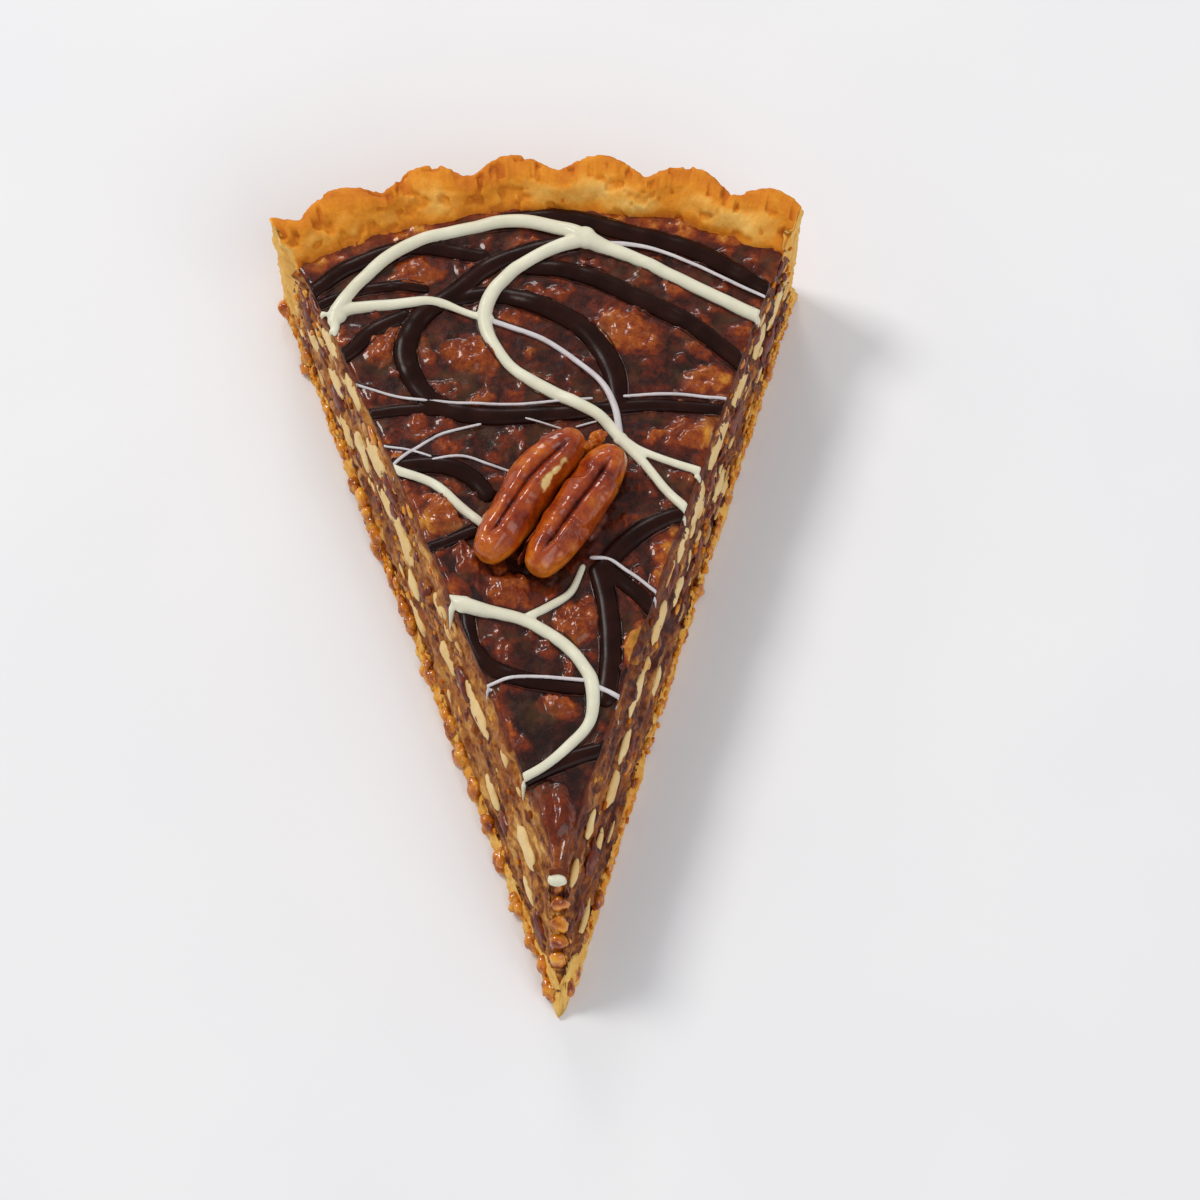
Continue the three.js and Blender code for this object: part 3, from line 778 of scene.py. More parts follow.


# %% [markdown]
# ## Nut slices in the cut
#
# Where the knife went through a nut it left a pale, smooth, long slice lying flat in the layers, as
# pecans do when the filling settles. Each is a flat pebble half sunk in the cut face. The big ones are
# listed one by one, the small ones at random. Torn bits of the nuts' red-brown skin lie between them.

# %% Pale nut slices
nut_flesh, flesh_mm, flesh_shader = new_finish(
    "cut_pecan_flesh", Roughness=0.42, Subsurface_Weight=0.1, Subsurface_Radius=(1.0, 0.6, 0.3),
    Subsurface_Scale=1.0 * MM)
flesh_tone = add_node(nut_flesh, "Attribute", attribute_name="tone").outputs["Fac"]
flesh_grain = add_node(nut_flesh, "TexNoise", {"Vector": flesh_mm, "Scale": 0.8,
                                               "Detail": 4.0}).outputs["Fac"]
flesh_shade = add_node(nut_flesh, "Math", {0: flesh_grain, 1: 0.45, 2: flesh_tone}, operation="MULTIPLY_ADD")
flesh_colour = add_node(nut_flesh, "ValToRGB", {"Fac": flesh_shade.outputs[0]},
                        stops=[(0.1, "#f2d598"), (0.92, "#6f3315"), (0.42, "#e6bc72"),
                               (0.66, "#bd8442")]).outputs["Color"]
flesh_bump = add_node(nut_flesh, "Bump", {"Strength": 0.25, "Distance": 0.12 * MM, "Height": flesh_grain})
join(nut_flesh, {"Base Color": flesh_colour, "Normal": flesh_bump.outputs[0]}, flesh_shader)

BIG_SLICES = np.array([      # side, y, z, half length, half width, tilt
    (-1, 90, 15.5, 3.9, 1.5, 0.05), (-1, 94, 11, 3.4, 1.3, 0.0), (-1, 76, 13, 4.3, 1.3, -0.05),
    (-1, 83, 12, 4.4, 1.0, 0.1), (-1, 56, 11.5, 3.2, 1.2, 0.12), (-1, 45, 14, 4.6, 1.4, 0.04),
    (-1, 36, 17.5, 1.5, 0.8, 0.0), (-1, 70, 9.5, 2.4, 1.0, 0.1), (-1, 23, 13, 3.5, 1.4, 0.1),
    (-1, 34, 8.5, 2.8, 0.9, 0.0), (-1, 109.5, 17.5, 4.0, 1.1, 0.05), (-1, 101, 18, 3.6, 1.1, 0.0),
    (-1, 106, 12.5, 3.0, 1.3, -0.1), (-1, 115, 10, 2.6, 1.1, 0.0), (-1, 63, 16, 2.4, 0.9, 0.1),
    (-1, 99, 7.5, 3.0, 1.0, 0.0), (-1, 65, 6.0, 2.8, 0.8, 0.0), (-1, 17, 8.0, 2.0, 0.9, 0.0),
    (1, 25, 15.5, 2.0, 1.0, 0.0), (1, 23.5, 10, 2.8, 0.9, -0.1), (1, 32, 11.5, 3.2, 1.2, 0.0),
    (1, 17, 16, 1.9, 0.9, 0.0), (1, 14, 6.0, 3.0, 0.8, 0.0), (1, 90.5, 17, 4.6, 1.7, 0.05),
    (1, 79.5, 16.5, 3.4, 1.8, 0.0), (1, 72, 17, 2.8, 1.3, 0.0), (1, 59, 15.5, 3.4, 1.3, -0.05),
    (1, 47, 15, 3.2, 1.2, 0.0), (1, 101, 16.5, 4.2, 1.4, 0.0), (1, 118, 12, 3.2, 1.3, 0.0),
    (1, 39, 12.5, 2.6, 1.0, 0.05), (1, 66, 12, 2.6, 1.0, 0.0), (1, 110, 14.5, 3.0, 1.4, 0.0),
    (1, 52, 8.0, 2.6, 1.0, 0.0), (1, 86, 9.0, 3.0, 1.1, 0.0)])
BIG_SLICES *= [1, 1, 1, 1.1, 1.35, 1]       # each a little longer and wider than it was first drawn
rng = np.random.default_rng(23)
SMALL_SLICES = 90
small = scattered_on_cuts(SMALL_SLICES, FLOOR + 1.6, FILL_AT_RIM - 2.2, (0.7, 2.0), (0.3, 0.7), (-0.2, 0.2))
slices = np.concatenate([BIG_SLICES, small])
side, slice_y, slice_z, half_long, half_wide, tilt = slices.T[..., None]
slice_side, at_z = side[:, 0], slice_z[:, 0]
here, along, down, out = cut_frame(slice_side, share_at(slice_side, slice_y[:, 0], at_z), at_z)
points, faces, each = pebbles(here + out * 0.03, (along + tilt * down) * half_long,
                              (down - tilt * along) * half_wide, out * np.minimum(0.5, half_wide * 0.6),
                              0.30, 1.9, 31, 16, 18, boxy=0.75)
slice_tone = np.concatenate([rng.uniform(-0.05, 0.16, len(BIG_SLICES)), rng.uniform(0.0, 0.5, SMALL_SLICES)])
make_piece("nut_slices", points, faces, [nut_flesh], ["filling"],
           {"tone": np.repeat(slice_tone, each)})

# %% Red skins
skin_red, red_mm, red_shader = new_finish("cooked_nut_skin", Roughness=0.28)
red_cloud = add_node(skin_red, "TexNoise", {"Vector": red_mm, "Scale": 0.9, "Detail": 4.0}).outputs["Fac"]
red_colour = add_node(skin_red, "ValToRGB", {"Fac": red_cloud},
                      stops=[(0.3, "#4a1206"), (0.75, "#92380e")])
red_bump = add_node(skin_red, "Bump", {"Strength": 0.5, "Distance": 0.2 * MM, "Height": red_cloud})
join(skin_red, {"Base Color": red_colour.outputs["Color"], "Normal": red_bump.outputs[0]}, red_shader)

BIG_SKINS = np.array([      # side, y, z, half length, half width
    (-1, 11, 7.0, 2.4, 2.0), (1, 21.5, 11.0, 2.4, 2.0), (1, 13.5, 9.5, 1.8, 1.5), (-1, 28, 9.0, 2.2, 1.4),
    (-1, 50, 13.5, 2.6, 1.6), (-1, 67, 13.0, 2.4, 1.5), (-1, 104, 10.5, 2.6, 1.6), (1, 40, 9.5, 2.4, 1.4),
    (1, 84, 15.0, 2.8, 1.6), (1, 96, 13.0, 3.0, 1.6), (1, 112, 9.0, 3.0, 1.8), (1, 66, 16.5, 2.2, 1.3),
    (-1, 84, 16.0, 2.4, 1.4), (-1, 118, 14.5, 2.6, 1.8)])
SKINS = 90
small = scattered_on_cuts(SKINS, FLOOR + 0.8, FILL_AT_RIM - 1.6, (0.7, 2.2), (0.35, 1.0))
side, red_y, red_z, half_long, half_wide = np.concatenate([BIG_SKINS, small]).T
here, along, down, out = cut_frame(side, share_at(side, red_y, red_z), red_z)
points, faces, _ = pebbles(here - out * 0.05, along * half_long[:, None], down * half_wide[:, None],
                           out * np.minimum(0.9, half_wide * 0.6)[:, None], 0.5, 1.1, 37)
make_piece("red_skins", points, faces, [skin_red], ["filling"])

# %% [markdown]
# ## Amber beads and crumbs
#
# In the oven, syrup boiled out along the edge of the base and set in beads like clear orange glass.
# They are small, so light goes into them and comes out again: a scattering of orange light inside
# gives that glow. More of it shines between the nuts just under the glaze and down the tip's edge.
# Crumbs of pastry and nut stick to everything.

# %% Beads of syrup
amber_finish, amber_mm, amber_shader = new_finish(
    "set_amber_syrup", Roughness=0.16, Subsurface_Weight=0.25, Subsurface_Radius=(1.0, 0.45, 0.12),
    Subsurface_Scale=1.6 * MM, Coat_Weight=0.4, Coat_Roughness=0.05)
amber_cloud = add_node(amber_finish, "TexNoise", {"Vector": amber_mm, "Scale": 0.4, "Detail": 3.0})
amber_colour = add_node(amber_finish, "ValToRGB", {"Fac": amber_cloud.outputs["Fac"]},
                        stops=[(0.32, "#8a3604"), (0.68, "#f0aa30"), (0.5, "#d67c0e")])
join(amber_finish, {"Base Color": amber_colour.outputs["Color"]}, amber_shader)

CLUMPS_LEFT = (126, 116, 107, 99, 92, 89, 86, 83.5, 81, 75, 69, 66, 59, 57, 49.5, 47.5, 44.5, 43, 37, 31,
               25.5, 18.5, 12, 7.5, 3.5)
CLUMPS_RIGHT = (121, 112, 104, 98, 93, 88, 83, 78, 71, 63, 56, 50, 44, 37, 30, 24, 18, 11, 6, 3)
PER_CLUMP = 4
side = np.repeat([-1.0] * len(CLUMPS_LEFT) + [1.0] * len(CLUMPS_RIGHT), PER_CLUMP)
bead_y = np.repeat(CLUMPS_LEFT + CLUMPS_RIGHT, PER_CLUMP) + rng.normal(0, 0.6, len(side))
bead_z = rng.uniform(0.9, 3.6, len(side))
here, along, down, out = cut_frame(side, share_at(side, bead_y, bead_z), bead_z)
bead_size = (rng.uniform(0.4, 1.3, len(side)) * np.where(side < 0, 1.0, 0.75))[:, None]
low_beads = (here + out * 0.5 * bead_size, along * bead_size * 1.2, down * bead_size,
             out * bead_size * 0.9)

SEEPS = 46
side = both_sides(SEEPS)
seep_z = np.where(rng.uniform(0, 1, SEEPS) < 0.55, rng.uniform(FILL_AT_RIM - 4.2, FILL_AT_RIM - 1.2, SEEPS),
                  rng.uniform(FLOOR + 0.5, FILL_AT_RIM - 4, SEEPS))
here, along, down, out = cut_frame(side, np.sqrt(rng.uniform(0.002, 0.83, SEEPS)), seep_z)
seep_size = rng.uniform(0.25, 0.75, SEEPS)[:, None]
seeps = (here - out * 0.05, along * seep_size * 2.2, down * seep_size * 1.1, out * seep_size * 0.6)

tip_z = np.array([8.2, 10.6, 13.5, 16.2, 18.5])
tip_edge = slice_point(np.zeros(len(tip_z)), tip_z, share=0.0)
tip_size = np.array([1.2, 1.45, 1.3, 1.2, 0.8])[:, None]
tip_beads = (tip_edge + [0, 0.25, 0], tip_size * [1.1, 0, 0], tip_size * [0, 0.25, 1.2],
             tip_size * [0, -0.75, 0.2])
points, faces, _ = pebbles(*[np.concatenate(columns) for columns in zip(low_beads, seeps, tip_beads)],
                           0.45, 1.3, 42)
points[:, 2] = np.maximum(points[:, 2], 0.06)
make_piece("syrup_beads", points, faces, [amber_finish], ["filling"])

# %% Crumbs
CRUMBS = 800
side = both_sides(CRUMBS)
crumb_share = np.sqrt(rng.uniform(0.0005, 0.9, CRUMBS))
low_down = rng.uniform(0, 1, CRUMBS) < 0.65
crumb_z = np.where(low_down, rng.uniform(0.3, FLOOR + 0.8, CRUMBS),
                   rng.uniform(FLOOR, FILL_AT_RIM - 1.2, CRUMBS))
here, along, down, out = cut_frame(side, crumb_share, crumb_z)
crumb_size = rng.uniform(0.18, 0.5, CRUMBS)[:, None]
crumb_stand = np.where(low_down, 0.45, 0.1)[:, None] * rng.uniform(0.5, 1.3, (CRUMBS, 1))
points, faces, each = pebbles(here + out * crumb_stand, along * crumb_size * 1.4, down * crumb_size,
                              out * crumb_size * 0.8, 0.5, 0.5, 51, rings=5, around=7)
points[:, 2] = np.maximum(points[:, 2], 0.06)
crumb_tone = np.where(low_down, rng.uniform(0.0, 0.6, CRUMBS), rng.uniform(0.1, 1.0, CRUMBS))
make_piece("crumbs", points, faces, [crust_finish], ["crust"],
           {"browning_and_shade": np.repeat(crumb_tone, each)})

# %% [markdown]
# ## Chocolate drizzle
#
# A baker flicks melted chocolate over the tart from a fork or a bag, so each strand is one loose curve
# that swells and thins, and dark went on before white. A strand is drawn by the few places it passes,
# each with its half width, and a smooth curve joins them. Its section is a low dome carried over the
# bumps, and where the knife went through it, it ends flush with the cut. Strands of one colour melt
# together where they cross: the tubes are turned into one skin by remeshing them on a grid of small
# cubes, and smoothing rounds the joints as surface tension does.

# %% Curves and heights
def smooth_route(route, step):
    """Points on a Catmull-Rom curve through the route's places, evenly a step apart. Each quarter is
    the cubic that leaves and enters its places in the direction of their neighbours."""
    places = np.array(route, float)
    padded = np.concatenate([2 * places[:1] - places[1:2], places, 2 * places[-1:] - places[-2:-1]])
    t = np.linspace(0, 1, 40, endpoint=False)[:, None, None]
    before, start, end, after = (padded[i:len(padded) - 3 + i][None] for i in range(4))
    curve = 0.5 * (2 * start + (end - before) * t + (2 * before - 5 * start + 4 * end - after) * t ** 2
                   + (3 * start - before - 3 * end + after) * t ** 3)
    curve = np.concatenate([curve.transpose(1, 0, 2).reshape(-1, places.shape[1]), places[-1:]])
    length = np.concatenate([[0], np.cumsum(np.linalg.norm(np.diff(curve[:, :2], axis=0), axis=1))])
    spots = np.linspace(0, length[-1], max(4, int(length[-1] / step)))
    return np.stack([np.interp(spots, length, column) for column in curve.T], -1)


def running_mean(values, reach):
    """The mean over reach neighbours each way, with the ends repeated."""
    padded = np.concatenate([np.repeat(values[:1], reach, 0), values, np.repeat(values[-1:], reach, 0)])
    total = np.cumsum(np.concatenate([np.zeros_like(padded[:1]), padded]), axis=0)
    width = 2 * reach + 1
    return (total[width:] - total[:-width]) / width


def resting_height(x, y):
    """The height a soft strand rests at: the mean of the surface at five places 0.8 mm apart."""
    offsets = ((0, 0), (0.8, 0), (-0.8, 0), (0, 0.8), (0, -0.8))
    return sum(surface_height(x + dx, y + dy) for dx, dy in offsets) / len(offsets)


edge_shares = np.linspace(-0.2, 1, 400)
UPPER_EDGES = {side: slice_point(side, FILL_AT_RIM, share=edge_shares) for side in (-1.0, 1.0)}


def trimmed(points, proud):
    """Moves every point that is past a cut back to it, as the knife does. proud is how far the strand
    may still stand out."""
    for side, edge in UPPER_EDGES.items():
        limit = np.abs(np.interp(points[..., 1], edge[:, 1], edge[:, 0])) + proud
        past = (points[..., 0] * side > limit)
        points[..., 0] = np.where(past, side * limit, points[..., 0])
    return points


# %% One strand
STRAND_STEP = 0.4
STRAND_SIDES = 16


def tube_along(line, flatness, sides=STRAND_SIDES):
    """Rings round a line of places with half widths. The section is a dome of the given flatness above
    and half as much below, and the ends are rounded by the circle's own formula."""
    ahead = np.gradient(line[:, :3], axis=0)
    ahead /= np.linalg.norm(ahead, axis=1, keepdims=True)
    up = np.array([0.0, 0.0, 1.0]) + 0 * ahead
    steep = np.abs(ahead[:, 2]) > 0.6
    up[steep] = np.sign(line[steep, :1]) * np.array([1.0, 0.0, 0.0])
    beside = np.cross(ahead, up)
    beside /= np.linalg.norm(beside, axis=1, keepdims=True)
    up = np.cross(beside, ahead)
    length = np.concatenate([[0], np.cumsum(np.linalg.norm(np.diff(line[:, :3], axis=0), axis=1))])
    from_end = np.minimum(length, length[-1] - length) + 0.08
    half = line[:, 3] * np.sqrt(1 - (1 - np.clip(from_end / line[:, 3], 0, 1)) ** 2)
    angle = np.arange(sides) * 2 * np.pi / sides
    high = np.where(np.sin(angle) > 0, flatness, 0.5) * np.sin(angle)
    rings = line[:, None, :3] + half[:, None, None] * (np.cos(angle)[None, :, None] * beside[:, None]
                                                       + high[None, :, None] * up[:, None])
    return rings[:, ::-1]


def strand(route, flatness, lift=None):
    """Points and faces of one strand laid on the filling and trimmed at the cuts."""
    x, y, half = smooth_route(route, STRAND_STEP).T
    z = running_mean(resting_height(x, y), 3)
    if lift is not None:
        z = z + running_mean(lift(x, y), 3)
    points, faces = closed_tube(trimmed(tube_along(np.stack([x, y, z, half], -1), flatness), 0.12))
    return points, faces, {}


def drip(side, y, length, half):
    """A thin tail that runs down the cut face from a strand's end at y and comes to a point."""
    fall = np.arange(-0.5, length, 0.3)
    z = FILL_AT_RIM + 0.5 - np.maximum(fall, 0)
    share = share_at(side, y, FILL_AT_RIM)
    line = slice_point(np.full(len(fall), side), z, share=share)
    line[:, 0] += side * np.where(fall < 0, -0.5, 0.25)
    thin = half * np.clip(1.15 - fall / length, 0.22, 1)
    points, faces = closed_tube(tube_along(np.column_stack([line, thin]), 0.8))
    return points, faces, {}


def melted_together(name, parts, finish, replaced, cube, rounds):
    """One skin round many overlapping closed shapes: a voxel remesh with cubes of the given size in mm,
    then rounds of smoothing. The result is applied, so no modifier is left."""
    points, faces, _ = join_parts(parts)
    piece = make_piece(name, points, faces, [finish], replaced)
    remesh = piece.modifiers.new("melt", "REMESH")
    remesh.mode = "VOXEL"
    remesh.voxel_size = cube * MM
    smooth = piece.modifiers.new("surface_tension", "SMOOTH")
    smooth.iterations = rounds
    depsgraph = bpy.context.evaluated_depsgraph_get()
    melted = bpy.data.meshes.new_from_object(piece.evaluated_get(depsgraph))
    piece.modifiers.clear()
    piece.data = melted
    melted.shade_smooth()
    print(name, "melted to", 2 * len(melted.polygons), "triangles")
    return piece


# %% Chocolate materials
def chocolate(name, pale, dark, roughness, scatter, size, shine):
    """Set chocolate: cocoa butter gives a satin skin, and the colour is nearly even. scatter is how much
    light goes in and comes out again, size the cloudiness, and shine the skin's reflection."""
    finish, in_mm, shader = new_finish(
        name, Roughness=roughness, Specular_IOR_Level=shine, Subsurface_Weight=scatter,
        Subsurface_Radius=(1.0, 0.8, 0.5), Subsurface_Scale=0.8 * MM)
    cloud = add_node(finish, "TexNoise", {"Vector": in_mm, "Scale": size, "Detail": 3.0})
    colour = add_node(finish, "ValToRGB", {"Fac": cloud.outputs["Fac"]}, stops=[(0.3, dark), (0.7, pale)])
    grain = add_node(finish, "TexNoise", {"Vector": in_mm, "Scale": 1.4, "Detail": 2.0})
    bump = add_node(finish, "Bump", {"Strength": 0.15, "Distance": 0.1 * MM, "Height": grain.outputs["Fac"]})
    join(finish, {"Base Color": colour.outputs["Color"], "Normal": bump.outputs[0]}, shader)
    return finish


dark_finish = chocolate("dark_chocolate_satin", "#2c130d", "#1c0b07", 0.27, 0.0, 0.3, 0.11)
white_finish = chocolate("white_chocolate_satin", "#e9e6cf", "#dcd8bf", 0.28, 0.2, 0.25, 0.22)
thread_finish = chocolate("thin_white_chocolate", "#d9d3d4", "#c6bebf", 0.28, 0.1, 0.4, 0.22)

# %% [markdown]
# The routes below are lists of places, x and y from the base's tip with the strand's half width. They
# follow the same lines as the CAD strands, with the thinnest ones added.
# A route that leaves the slice runs a little past the cut, and is trimmed there.

# %% Dark strands
DARK_ROUTES = [
    [(-7, 131, 0.9), (4, 131, 1.5), (14, 127.8, 1.7), (25, 124, 1.7), (32, 119.5, 1.6), (37, 115.5, 1.4),
     (40, 113, 1.4)],
    [(-41, 115.5, 1.2), (-37, 118, 1.3), (-31, 122.5, 1.4), (-21, 126, 1.4), (-8, 123.5, 1.3)],
    [(7, 126.5, 1.6), (-6, 123, 1.6), (-14, 117, 1.6), (-20, 112, 1.8), (-22, 105, 1.9), (-18, 97, 1.7),
     (-10, 94, 1.7), (3, 94, 1.5), (16, 95, 1.2), (27, 94, 1.1), (33, 92.5, 1.1)],
    [(-18, 115, 1.3), (-8, 116.5, 1.5), (0, 114, 1.7), (7, 109.5, 1.8), (11.3, 102, 1.9), (12.2, 94.5, 1.4)],
    [(-4, 122, 1.4), (7, 120, 1.6), (16, 115, 1.7), (24, 110, 1.7), (30.5, 104, 1.5), (35, 99, 1.5)],
    [(-37, 103, 1.1), (-31, 106.5, 1.3), (-27, 110.5, 1.4), (-21, 113.5, 1.3)],
    [(-40, 112.5, 0.8), (-34, 116.5, 0.9), (-26, 118.5, 1.0), (-18, 118, 0.8)],
    [(-34, 94, 0.9), (-27, 95, 1.0), (-21, 95.5, 1.1), (-15, 95, 1.0)],
    [(-28, 84, 1.3), (-24, 85, 1.4), (-17, 85.3, 1.6), (-12, 83, 1.5), (-8.5, 78.5, 1.4)],
    [(-23, 69.5, 0.8), (-17, 71, 0.9), (-12, 73, 1.1), (-8, 74, 1.0)],
    [(7, 64, 1.4), (11.5, 69.5, 1.7), (16, 73, 1.6), (21, 75, 1.4), (26, 76, 1.3)],
    [(7.5, 67, 1.6), (9, 60, 1.7), (9.3, 51, 1.7), (8, 42, 1.5)],
    [(9, 66, 1.3), (14, 61, 1.3), (17, 57, 1.1), (20, 53, 1.0)],
    [(-13, 60, 1.1), (-12, 53, 1.3), (-8, 48.5, 1.4), (1, 46, 1.3), (8, 45, 1.2)],
    [(-9, 27.5, 1.2), (-5, 30, 1.3), (1, 33, 1.5), (7, 34.8, 1.3), (12, 35.5, 1.2)],
]
dark_line = np.concatenate([smooth_route(route, 0.6) for route in DARK_ROUTES])
DARK_FLATNESS = 0.55
melted_together("dark_drizzle", [strand(route, DARK_FLATNESS) for route in DARK_ROUTES], dark_finish,
                [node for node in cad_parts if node.startswith("dark_drizzle")],
                0.24, 4)


# %% White strands over the dark
def over_dark(x, y):
    """How far white lies higher where it crosses dark: full over the dark strand, none 2 mm away."""
    away = np.hypot(x[:, None] - dark_line[:, 0], y[:, None] - dark_line[:, 1])
    gap = (away - dark_line[:, 2]).min(1)
    return 0.7 * (1 - smoothstep(gap, -0.2, 2.0))


WHITE_FLATNESS = 0.85
WHITE_ROUTES = [
    [(-33.8, 113.3, 1.3), (-31.2, 117, 1.1), (-27, 122, 1.15), (-21.5, 126, 1.15), (-13, 129, 1.15),
     (-4, 130.2, 1.2), (4, 128.5, 1.3), (7.5, 126.5, 1.6), (12, 124.5, 1.3), (17, 122, 1.15),
     (26, 116.5, 1.15), (34.2, 111.6, 1.2), (39, 108.7, 1.2)],
    [(8, 126.5, 1.4), (1, 124, 1.15), (-5.5, 119.5, 1.2), (-8.8, 114, 1.25), (-8.6, 109, 1.15),
     (-5.5, 103.5, 0.95), (-1, 99.5, 1.1), (4.5, 96, 1.1), (9, 93, 1.0), (12.2, 89, 1.0),
     (16, 84, 0.8), (19, 79.5, 0.8), (22.6, 75, 0.85), (26, 71, 0.85)],
    [(-33.5, 114, 1.4), (-30, 114.8, 1.1), (-23, 115.2, 0.95), (-17, 115, 0.85), (-13, 113.5, 0.65),
     (-9, 112, 0.7)],
    [(12.2, 89, 0.9), (15, 87, 0.7), (19, 85, 0.7), (24.6, 82.6, 0.8), (29, 80.8, 0.8)],
    [(-26, 85.4, 0.9), (-23.2, 84, 0.8), (-18, 82, 0.8), (-14, 78, 0.85), (-9.5, 73.5, 0.75)],
    [(-18, 61.3, 1.2), (-14.8, 60.5, 1.3), (-12, 59.5, 1.3), (-8, 58.6, 1.1), (-3.5, 57, 1.05),
     (2, 53, 1.05), (5, 49, 1.05), (6.2, 45.5, 1.15), (5.8, 40, 0.95), (2.6, 35.8, 0.9), (-1, 32.5, 0.8),
     (-5.3, 30, 0.8), (-9, 28, 0.8)],
    [(5.6, 66.5, 0.5), (3.4, 62, 0.65), (0, 59.6, 0.75), (-4, 57.6, 0.75)],
    [(-33.8, 113.4, 1.3), (-33.4, 111.2, 0.8), (-33.6, 109.6, 0.5)],
]
white_parts = [strand(route, WHITE_FLATNESS, over_dark) for route in WHITE_ROUTES]
KNOTS = np.array([(7.8, 126.4, 2.1), (-33.0, 113.6, 1.6), (-8.7, 111.8, 1.3), (12.2, 89, 1.2),
                  (-13.4, 60.0, 1.5)])
knot_z = resting_height(KNOTS[:, 0], KNOTS[:, 1]) + over_dark(KNOTS[:, 0], KNOTS[:, 1])
knot_middles = np.column_stack([KNOTS[:, :2], knot_z])
knot_points, knot_faces, _ = pebbles(knot_middles, KNOTS[:, 2:] * [[1.0, 0, 0]], KNOTS[:, 2:] * [[0, 1.0, 0]],
                                     KNOTS[:, 2:] * [[0, 0, 0.66]], 0.1, 3.0, 61, 12, 18)
white_parts.append((trimmed(knot_points, 0.12), knot_faces, {}))
WHITE_DRIPS = [        # side, y, length, half width
    (1.0, 110.3, 2.6, 0.65), (1.0, 74.4, 3.2, 0.5), (1.0, 81.6, 2.8, 0.5), (-1.0, 113.6, 1.6, 0.6),
    (-1.0, 110.4, 2.4, 0.4), (-1.0, 60.0, 4.8, 0.85), (-1.0, 29.6, 3.2, 0.65),
]
white_parts.extend(drip(*place) for place in WHITE_DRIPS)
tip_white = slice_point(np.zeros(1), np.array([20.3]), share=0.0)
white_bit = pebbles(tip_white + [0, -0.3, 0], np.array([[1.35, 0, 0]]), np.array([[0, 0.3, 0.9]]),
                    np.array([[0, -0.9, 0.2]]), 0.2, 1.0, 62, 10, 14, boxy=0.6)
white_parts.append((white_bit[0], white_bit[1], {}))
melted_together("white_drizzle", white_parts, white_finish,
                [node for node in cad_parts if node.startswith("white_drizzle")], 0.2, 3)

# %% Thin white threads
THREADS = [
    [(-9, 112, 0.5), (0, 108, 0.47), (5, 104, 0.47), (9, 100, 0.5), (11.3, 95, 0.58), (12.2, 89, 0.58)],
    [(9, 126, 0.5), (18, 124.4, 0.36), (26, 120.6, 0.32), (32, 117, 0.32), (37, 114, 0.29),
     (40, 112.5, 0.29)],
    [(-33, 101, 0.22), (-30.2, 100.5, 0.25), (-25, 98.5, 0.26), (-20, 97, 0.27), (-12, 96, 0.27),
     (-4, 95.6, 0.26), (3, 96.2, 0.26), (8, 96.5, 0.24)],
    [(12.8, 96.5, 0.27), (20, 96.8, 0.3), (29, 95.6, 0.3), (34, 94.8, 0.29)],
    [(-28, 90, 0.22), (-25.6, 89, 0.23), (-22, 88.2, 0.23), (-18, 86.5, 0.22)],
    [(-27, 83.5, 0.29), (-24.5, 84.8, 0.29), (-21, 88, 0.29), (-16, 91, 0.27), (-10, 92.2, 0.24)],
    [(-18, 86, 0.24), (-13, 86.6, 0.26), (-9, 85.2, 0.26), (-4.5, 83.2, 0.24)],
    [(-3, 93, 0.2), (3, 91, 0.2)],
    [(5, 91.4, 0.2), (8.5, 92.2, 0.2)],
    [(6.5, 67.6, 0.36), (9.5, 67.2, 0.32), (12, 65.4, 0.32), (17.2, 61, 0.32), (20, 58.8, 0.32)],
    [(-13.5, 45.5, 0.29), (-10.6, 46, 0.3), (-6, 47.2, 0.3), (-1, 47.2, 0.3), (6, 46.2, 0.36)],
    [(6.4, 45.5, 0.43), (11, 43, 0.43), (15, 40.5, 0.43)],
]
thread_parts = [strand(route, 0.85, over_dark) for route in THREADS]
THREAD_DRIPS = [(1.0, 60.2, 2.0, 0.4), (1.0, 41.8, 3.4, 0.5), (-1.0, 45.4, 2.4, 0.38), (-1.0, 84.2, 2.6, 0.4)]
thread_parts.extend(drip(*place) for place in THREAD_DRIPS)
melted_together("white_threads", thread_parts, thread_finish, [], 0.13, 2)

# %% [markdown]
# Syrup creeps up against whatever stands in it. The thin raised lip beside each strand catches the
# light as a fine bright line, broken where the surface dips.

# %% Lips of glaze beside the strands
LIP_SIDES = 8
LIP_STEP = 0.5


def lips(route):
    """Two thin tubes, one along each side of a strand, just above the glaze."""
    x, y, half = smooth_route(route, LIP_STEP).T
    ahead = np.gradient(np.stack([x, y], -1), axis=0)
    ahead /= np.linalg.norm(ahead, axis=1, keepdims=True)
    made = []
    for side in (-1, 1):
        reach = side * (half + 0.12)
        beside_x, beside_y = x + ahead[:, 1] * reach, y - ahead[:, 0] * reach
        wave = noise(np.stack([beside_x, beside_y, 0 * x + 9 * side], -1), 3.5, 66, 2)
        z = surface_height(beside_x, beside_y) - 0.04 + 0.10 * wave
        line = np.stack([beside_x, beside_y, z, 0.16 + 0.06 * wave], -1)[2:-2]
        points, faces = closed_tube(trimmed(tube_along(line, 1.0, LIP_SIDES), 0.0))
        made.append((points, faces, {"nut": 0.0, "tone": 0.3, "edge": 0.0, "pool": 0.0}))
    return made


lip_parts = [part for route in DARK_ROUTES + WHITE_ROUTES + THREADS for part in lips(route)]
points, faces, marks = join_parts(lip_parts)
make_piece("glaze_lips", points, faces, [glaze_finish], [], marks)
